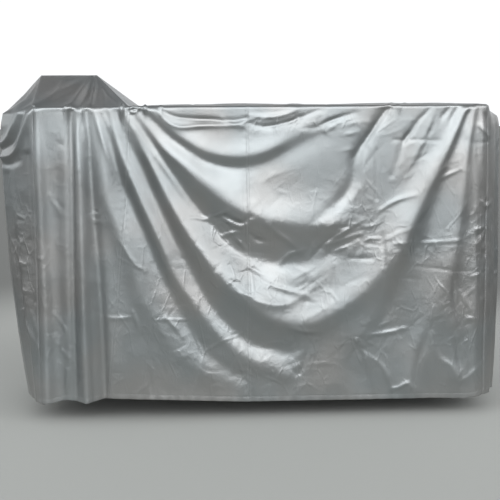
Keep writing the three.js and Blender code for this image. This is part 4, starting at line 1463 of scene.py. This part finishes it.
@dataclass(frozen=True)
class SilverCloth:
    """Silver coated satin, crinkled from its packing, with grey thread in its seams.

    Attributes:
        cool: Colour of the coating where it is cool.
        warm: Colour of the coating where it is warm.
        thread: Colour of the thread.
        metallic: How much of the light the coating mirrors.
        gloss: Smallest and largest roughness.
        thread_rough: Roughness of the thread.
        yarns: Yarns in a metre.
        stitch: Length of a stitch, in metres.
        seam_line: Place of the stitch row beside a seam, in metres.
        hem_line: Place of the stitch row over the hem, in metres.
        yarn_rise: How high a yarn stands, in metres.
        thread_rise: How high the thread stands, in metres.
    """

    cool: Colour = (0.305, 0.325, 0.33)
    warm: Colour = (0.34, 0.338, 0.332)
    thread: Colour = (0.36, 0.37, 0.37)
    metallic: float = 0.9
    gloss: Tuple[float, float] = (0.31, 0.39)
    thread_rough: float = 0.6
    yarns: float = 900.0
    stitch: float = 0.0045
    seam_line: float = 0.0065
    hem_line: float = 0.024
    yarn_rise: float = 0.00004
    thread_rise: float = 0.0005

    def build(self, effects: ShaderEffects) -> bpy.types.Material:
        """Build the material.

        Args:
            effects: The shared shader effects.

        Returns:
            The material.
        """
        material = bpy.data.materials.new("silver_cloth")
        material.use_nodes = True
        tree = Nodes(material.node_tree)
        place = tree.add("TexCoord")["Object"]
        flat, seam, hem = (tree.add("UVMap", uv_map=name)["UV"] for name in ("UVMap", "SeamRun", "HemRun"))
        tone = tree.effect(effects.patches, vector=place, size=2.3)
        coat = tree.mix(tone, (*self.cool, 1.0), (*self.warm, 1.0))
        sewn = tree.math("MAXIMUM", *(
            tree.effect(effects.stitches, run=run, line=line, pitch=self.stitch)
            for run, line in ((seam, self.seam_line), (hem, self.hem_line))))
        wear = tree.effect(effects.patches, vector=place, size=7.0)
        least, most = self.gloss
        rough = tree.add("MapRange", {"Value": wear, "To Min": least, "To Max": most})["Result"]
        crumpled = tree.add("Attribute", attribute_name="crumpled")["Fac"]
        normal = None
        for height, rise in (
            (tree.effect(effects.crinkle, vector=place, size=17.0), 0.0014),
            (tree.effect(effects.creases, vector=place, size=6.0, width=0.045), 0.0016),
            (tree.effect(effects.creases, vector=place, size=14.0, width=0.09), 0.0011),
            (tree.effect(effects.crinkle, vector=place, size=46.0), 0.0005),
        ):
            normal = tree.bump(tree.math("MULTIPLY", height, crumpled), rise, normal)
        weave = tree.effect(effects.weave, vector=flat, yarns=self.yarns)
        woven = tree.bump(weave, self.yarn_rise, normal)
        tree.fill(tree.tree.nodes["Principled BSDF"], {
            "Metallic": self.metallic,
            "Base Color": tree.mix(sewn, coat, (*self.thread, 1.0)),
            "Roughness": tree.math("MAXIMUM", rough, tree.math("MULTIPLY", sewn, self.thread_rough)),
            "Normal": tree.bump(sewn, self.thread_rise, woven),
        })
        return material


class PanelMaker:
    """Turns finished sheets into pieces of the cover."""

    def __init__(self, sizes: CoverSizes, material: bpy.types.Material) -> None:
        """Keep the sizes and the cloth's material."""
        self.sizes = sizes
        self.material = material

    def make(self, node: str, sheet: Sheet) -> bpy.types.Object:
        """Make the piece that stands for a node.

        Args:
            node: The node's name.
            sheet: The panel's sheet.

        Returns:
            The finished piece.
        """
        rows, columns = sheet.points.shape[:2]
        ids = np.arange(rows * columns).reshape(rows, columns)
        quads = np.stack([ids[:-1, :-1], ids[:-1, 1:], ids[1:, 1:], ids[1:, :-1]], axis=-1).reshape(-1, 4)
        mesh = bpy.data.meshes.new(f"{node}_cloth")
        mesh.from_pydata((sheet.points.reshape(-1, 3) * MM).tolist(), [], quads.tolist())
        self._maps(mesh, sheet)
        self._rims(mesh, ids)
        share = mesh.attributes.new("crumpled", "FLOAT", "POINT")
        share.data.foreach_set("value", crumpling(sheet.chart[..., 0], sheet.chart[..., 1]).ravel())
        mesh.materials.append(self.material)
        piece = bpy.data.objects.new(f"{node}_cloth", mesh)
        bpy.context.scene.collection.objects.link(piece)
        solid = piece.modifiers.new("cloth", "SOLIDIFY")
        solid.thickness = self.sizes.cloth * MM
        solid.offset = -1.0
        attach(piece, "root")
        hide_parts(node)
        width, length, area = sheet.cut_size()
        return piece

    def _maps(self, mesh: bpy.types.Mesh, sheet: Sheet) -> None:
        """Give the mesh its flat map and the runs of its seams and hems.

        Args:
            mesh: The panel's mesh.
            sheet: The panel's sheet.
        """
        u, v = sheet.steps()
        side = np.stack([np.minimum(u, u[:, -1:] - u), v], axis=-1)
        if sheet.head_seam:
            head = np.stack([v[-1:] - v, u], axis=-1)
            side = np.where(head[..., :1] < side[..., :1], head, side)
        hem = np.stack([sheet.from_hem(v) - self.sizes.hem_width - 1, u], axis=-1)
        corners = np.empty(len(mesh.loops), int)
        mesh.loops.foreach_get("vertex_index", corners)
        for name, values in (("UVMap", sheet.flat()), ("SeamRun", side * MM), ("HemRun", hem * MM)):
            layer = mesh.uv_layers.new(name=name)
            layer.data.foreach_set("uv", values.reshape(-1, 2)[corners].ravel())

    @staticmethod
    def _rims(mesh: bpy.types.Mesh, ids: Array) -> None:
        """Shade the mesh smooth, with a crisp edge at its rim.

        Args:
            mesh: The panel's mesh.
            ids: Numbers of its points, rows by columns.
        """
        mesh.shade_smooth()
        ends = np.empty(2 * len(mesh.edges), int)
        mesh.edges.foreach_get("vertices", ends)
        ends = ends.reshape(-1, 2)
        in_row = np.abs(ends[:, 0] - ends[:, 1]) == 1
        row, column = ends[:, 0] // ids.shape[1], ends[:, 0] % ids.shape[1]
        last_row, last_column = ids.shape[0] - 1, ids.shape[1] - 1
        rim = np.where(in_row, np.isin(row, (0, last_row)), np.isin(column, (0, last_column)))
        mesh.attributes.new("sharp_edge", "BOOLEAN", "EDGE").data.foreach_set("value", rim)


@dataclass(frozen=True)
class PhotoView:
    """Camera that looks as the photograph does.

    Attributes:
        place: Where it stands, in metres.
        yaw: Its turn to the right, in degrees.
        pitch: Its tilt down, in degrees.
        roll: Its lean to the left, in degrees.
        lens: Its focal length, in millimetres.
    """

    place: Tuple[float, float, float] = (-0.482, -6.337, 0.0)
    yaw: float = 4.0
    pitch: float = 6.85
    roll: float = -0.312
    lens: float = 86.4

    def build(self) -> None:
        """Make the camera and look through it."""
        yaw, pitch, roll = (math.radians(a) for a in (self.yaw, self.pitch, self.roll))
        ahead = Vector((math.sin(yaw) * math.cos(pitch), math.cos(yaw) * math.cos(pitch), -math.sin(pitch)))
        side = Vector((math.cos(yaw), -math.sin(yaw), 0.0))
        up = side.cross(ahead)
        right = side * math.cos(roll) + up * math.sin(roll)
        up = up * math.cos(roll) - side * math.sin(roll)
        data = bpy.data.cameras.new("photo_view")
        data.lens = self.lens
        camera = bpy.data.objects.new("photo_view", data)
        turn = Matrix((right, up, -ahead)).transposed().to_4x4()
        camera.matrix_world = Matrix.Translation(self.place) @ turn
        bpy.context.scene.collection.objects.link(camera)
        bpy.context.scene.camera = camera


# Brightness over the height of the look, from the horizon at 0 to straight up at 1
ZENITH: Point = (1.0, 0.32)
BEHIND = ((0.0, 1.03), (0.12, 1.03), (0.3, 0.6), (0.5, 0.4), (0.68, 0.2), (0.8, 0.18), ZENITH)
BEHIND_LEFT = ((0.0, 1.3), (0.12, 1.3), (0.3, 0.7), (0.6, 0.35), ZENITH)
BEHIND_RIGHT = ((0.0, 1.03), (0.12, 1.03), (0.3, 0.8), (0.65, 0.6), ZENITH)
SIDE_LEFT = ((0.0, 0.75), (0.12, 1.0), (0.3, 1.6), (0.6, 0.9), ZENITH)
SIDE_RIGHT = ((0.0, 0.6), (0.3, 0.8), (0.6, 0.5), ZENITH)
DIM = ((0.0, 0.1), (0.12, 0.4), (0.3, 2.4), (0.55, 2.8), (0.75, 0.5), ZENITH)
BEFORE = ((0.0, 0.45), (0.1, 1.2), (0.24, 3.1), (0.4, 3.8), (0.6, 3.4), (0.78, 0.6), ZENITH)
# Directions in degrees, 0 before the cover and 180 behind it, left below 0
SKY: Sequence[Tuple[float, Sequence[Point]]] = (
    (-180, BEHIND), (-150, BEHIND_LEFT), (-115, BEHIND_LEFT), (-92, SIDE_LEFT), (-70, DIM), (-42, DIM),
    (-14, BEFORE), (14, BEFORE), (42, DIM), (70, DIM), (92, SIDE_RIGHT), (150, BEHIND_RIGHT), (180, BEHIND),
)


@dataclass(frozen=True)
class Studio:
    """Pale floor with a patch of painted light under the cover and painted shade further out, under a soft
    sky, bright before the cover and calm beside it.

    Attributes:
        floor_level: Height of the floor, in metres.
        floor_size: Length of its side, in metres.
        floor_colour: Colour of the floor close to the cover.
        floor_rough: Roughness of the floor.
        light_pool: Size of the patch of painted light on the floor, across and in depth, in metres.
        painted_shade_share: Share of the floor's colour that is left far outside the patch of painted light,
            as painted shade.
        tint: Colour of the light.
    """

    floor_level: float = -1.56
    floor_size: float = 160.0
    floor_colour: Colour = (0.445, 0.455, 0.435)
    floor_rough: float = 0.85
    # Painted light on the floor: size of the pale painted patch of light, and how dark the painted shade
    # around it is
    light_pool: Tuple[float, float] = (4.0, 6.6)
    painted_shade_share: float = 0.4
    tint: Colour = (0.985, 1.0, 1.015)

    def build(self) -> None:
        """Make the floor and the world."""
        bpy.context.scene.view_settings.view_transform = "Standard"
        self._floor()
        self._world()

    def _floor(self) -> None:
        """Make the floor, pale in a patch of painted light under the cover and darkened by painted shade
        further out.
        """
        bpy.ops.object.select_all(action="DESELECT")
        bpy.ops.mesh.primitive_plane_add(size=self.floor_size, location=(0, 0, self.floor_level))
        floor = bpy.context.object
        floor.name = "studio_floor"
        paint = bpy.data.materials.new("floor_painted_light")
        paint.use_nodes = True
        tree = Nodes(paint.node_tree)
        light_pool = (1 / self.light_pool[0], 1 / self.light_pool[1], 0.0)
        place = tree.add("Mapping", {"Vector": tree.add("TexCoord")["Object"], "Scale": light_pool})["Vector"]
        # Painted light: the floor's colour stays pale under the cover and is darkened further out, standing
        # in for light that falls off
        near = tree.add("TexGradient", {"Vector": place}, gradient_type="SPHERICAL")["Fac"]
        share = tree.ease(near, from_min=0.15, from_max=0.52, to_min=self.painted_shade_share, to_max=1.0)
        colour = tree.add("VectorMath", {0: self.floor_colour, "Scale": share}, operation="SCALE")["Vector"]
        tree.fill(tree.tree.nodes["Principled BSDF"], {"Roughness": self.floor_rough, "Base Color": colour})
        floor.data.materials.append(paint)

    def _ramp(self, tree: Nodes, rows: Sequence[Point], height: Socket) -> Socket:
        """Make a band's ramp of brightness over height.

        Args:
            tree: The world's nodes.
            rows: Height and brightness of each stop.
            height: Height of the look.

        Returns:
            The band's colour.
        """
        colour = tree.add("ValToRGB", {"Fac": height})["Color"]
        stops = colour.node.color_ramp.elements
        while len(stops) < len(rows):
            stops.new(0.5)
        for stop, (at, level) in zip(stops, rows):
            stop.position = at
            stop.color = (*(level * part for part in self.tint), 1.0)
        return colour

    def _world(self) -> None:
        """Make the world's brightness change from band to band round the cover."""
        scene = bpy.context.scene
        scene.world = scene.world or bpy.data.worlds.new("studio")
        scene.world.use_nodes = True
        tree = Nodes(scene.world.node_tree)
        look = tree.add("SeparateXYZ", {"Vector": tree.add("TexCoord")["Generated"]})
        turn = tree.math("ARCTAN2", look["X"], tree.math("MULTIPLY", look["Y"], -1.0))
        light = self._ramp(tree, SKY[0][1], look["Z"])
        for (start, _), (stop, rows) in zip(SKY, SKY[1:]):
            share = tree.ease(turn, from_min=math.radians(start), from_max=math.radians(stop))
            light = tree.mix(share, light, self._ramp(tree, rows, look["Z"]))
        tree.fill(tree.tree.nodes["Background"], {"Color": light, "Strength": 1.0})


def main() -> None:
    """Build the camera, the cover's panels and the studio."""
    PhotoView().build()
    shape = CoverShape(SIZES)
    strips = StripCutter(shape)
    ends = EndCutter(shape, strips)
    finisher = Finisher(SIZES)
    maker = PanelMaker(SIZES, SilverCloth().build(ShaderEffects()))
    cuts: Dict[str, Callable[[], Sheet]] = {
        "hood_strip": lambda: strips.cut(Seam.LEFT, Seam.HIP, 6.5),
        "middle_strip": lambda: strips.cut(Seam.HOOD, Seam.MIDDLE, 7.0),
        "right_strip": lambda: strips.cut(Seam.MIDDLE, Seam.RIGHT, 9.2),
        "hood_gusset": ends.gusset,
        "left_end": ends.left_end,
        "right_end": ends.right_end,
    }
    for node, cut in cuts.items():
        sheet = cut()
        finisher.finish(sheet)
        piece = maker.make(node, sheet)
        LOG.info("%s: %d by %d points", piece.name, *sheet.points.shape[:2])
    Studio().build()


if __name__ == "__main__":
    logging.basicConfig(level=logging.INFO)
    main()
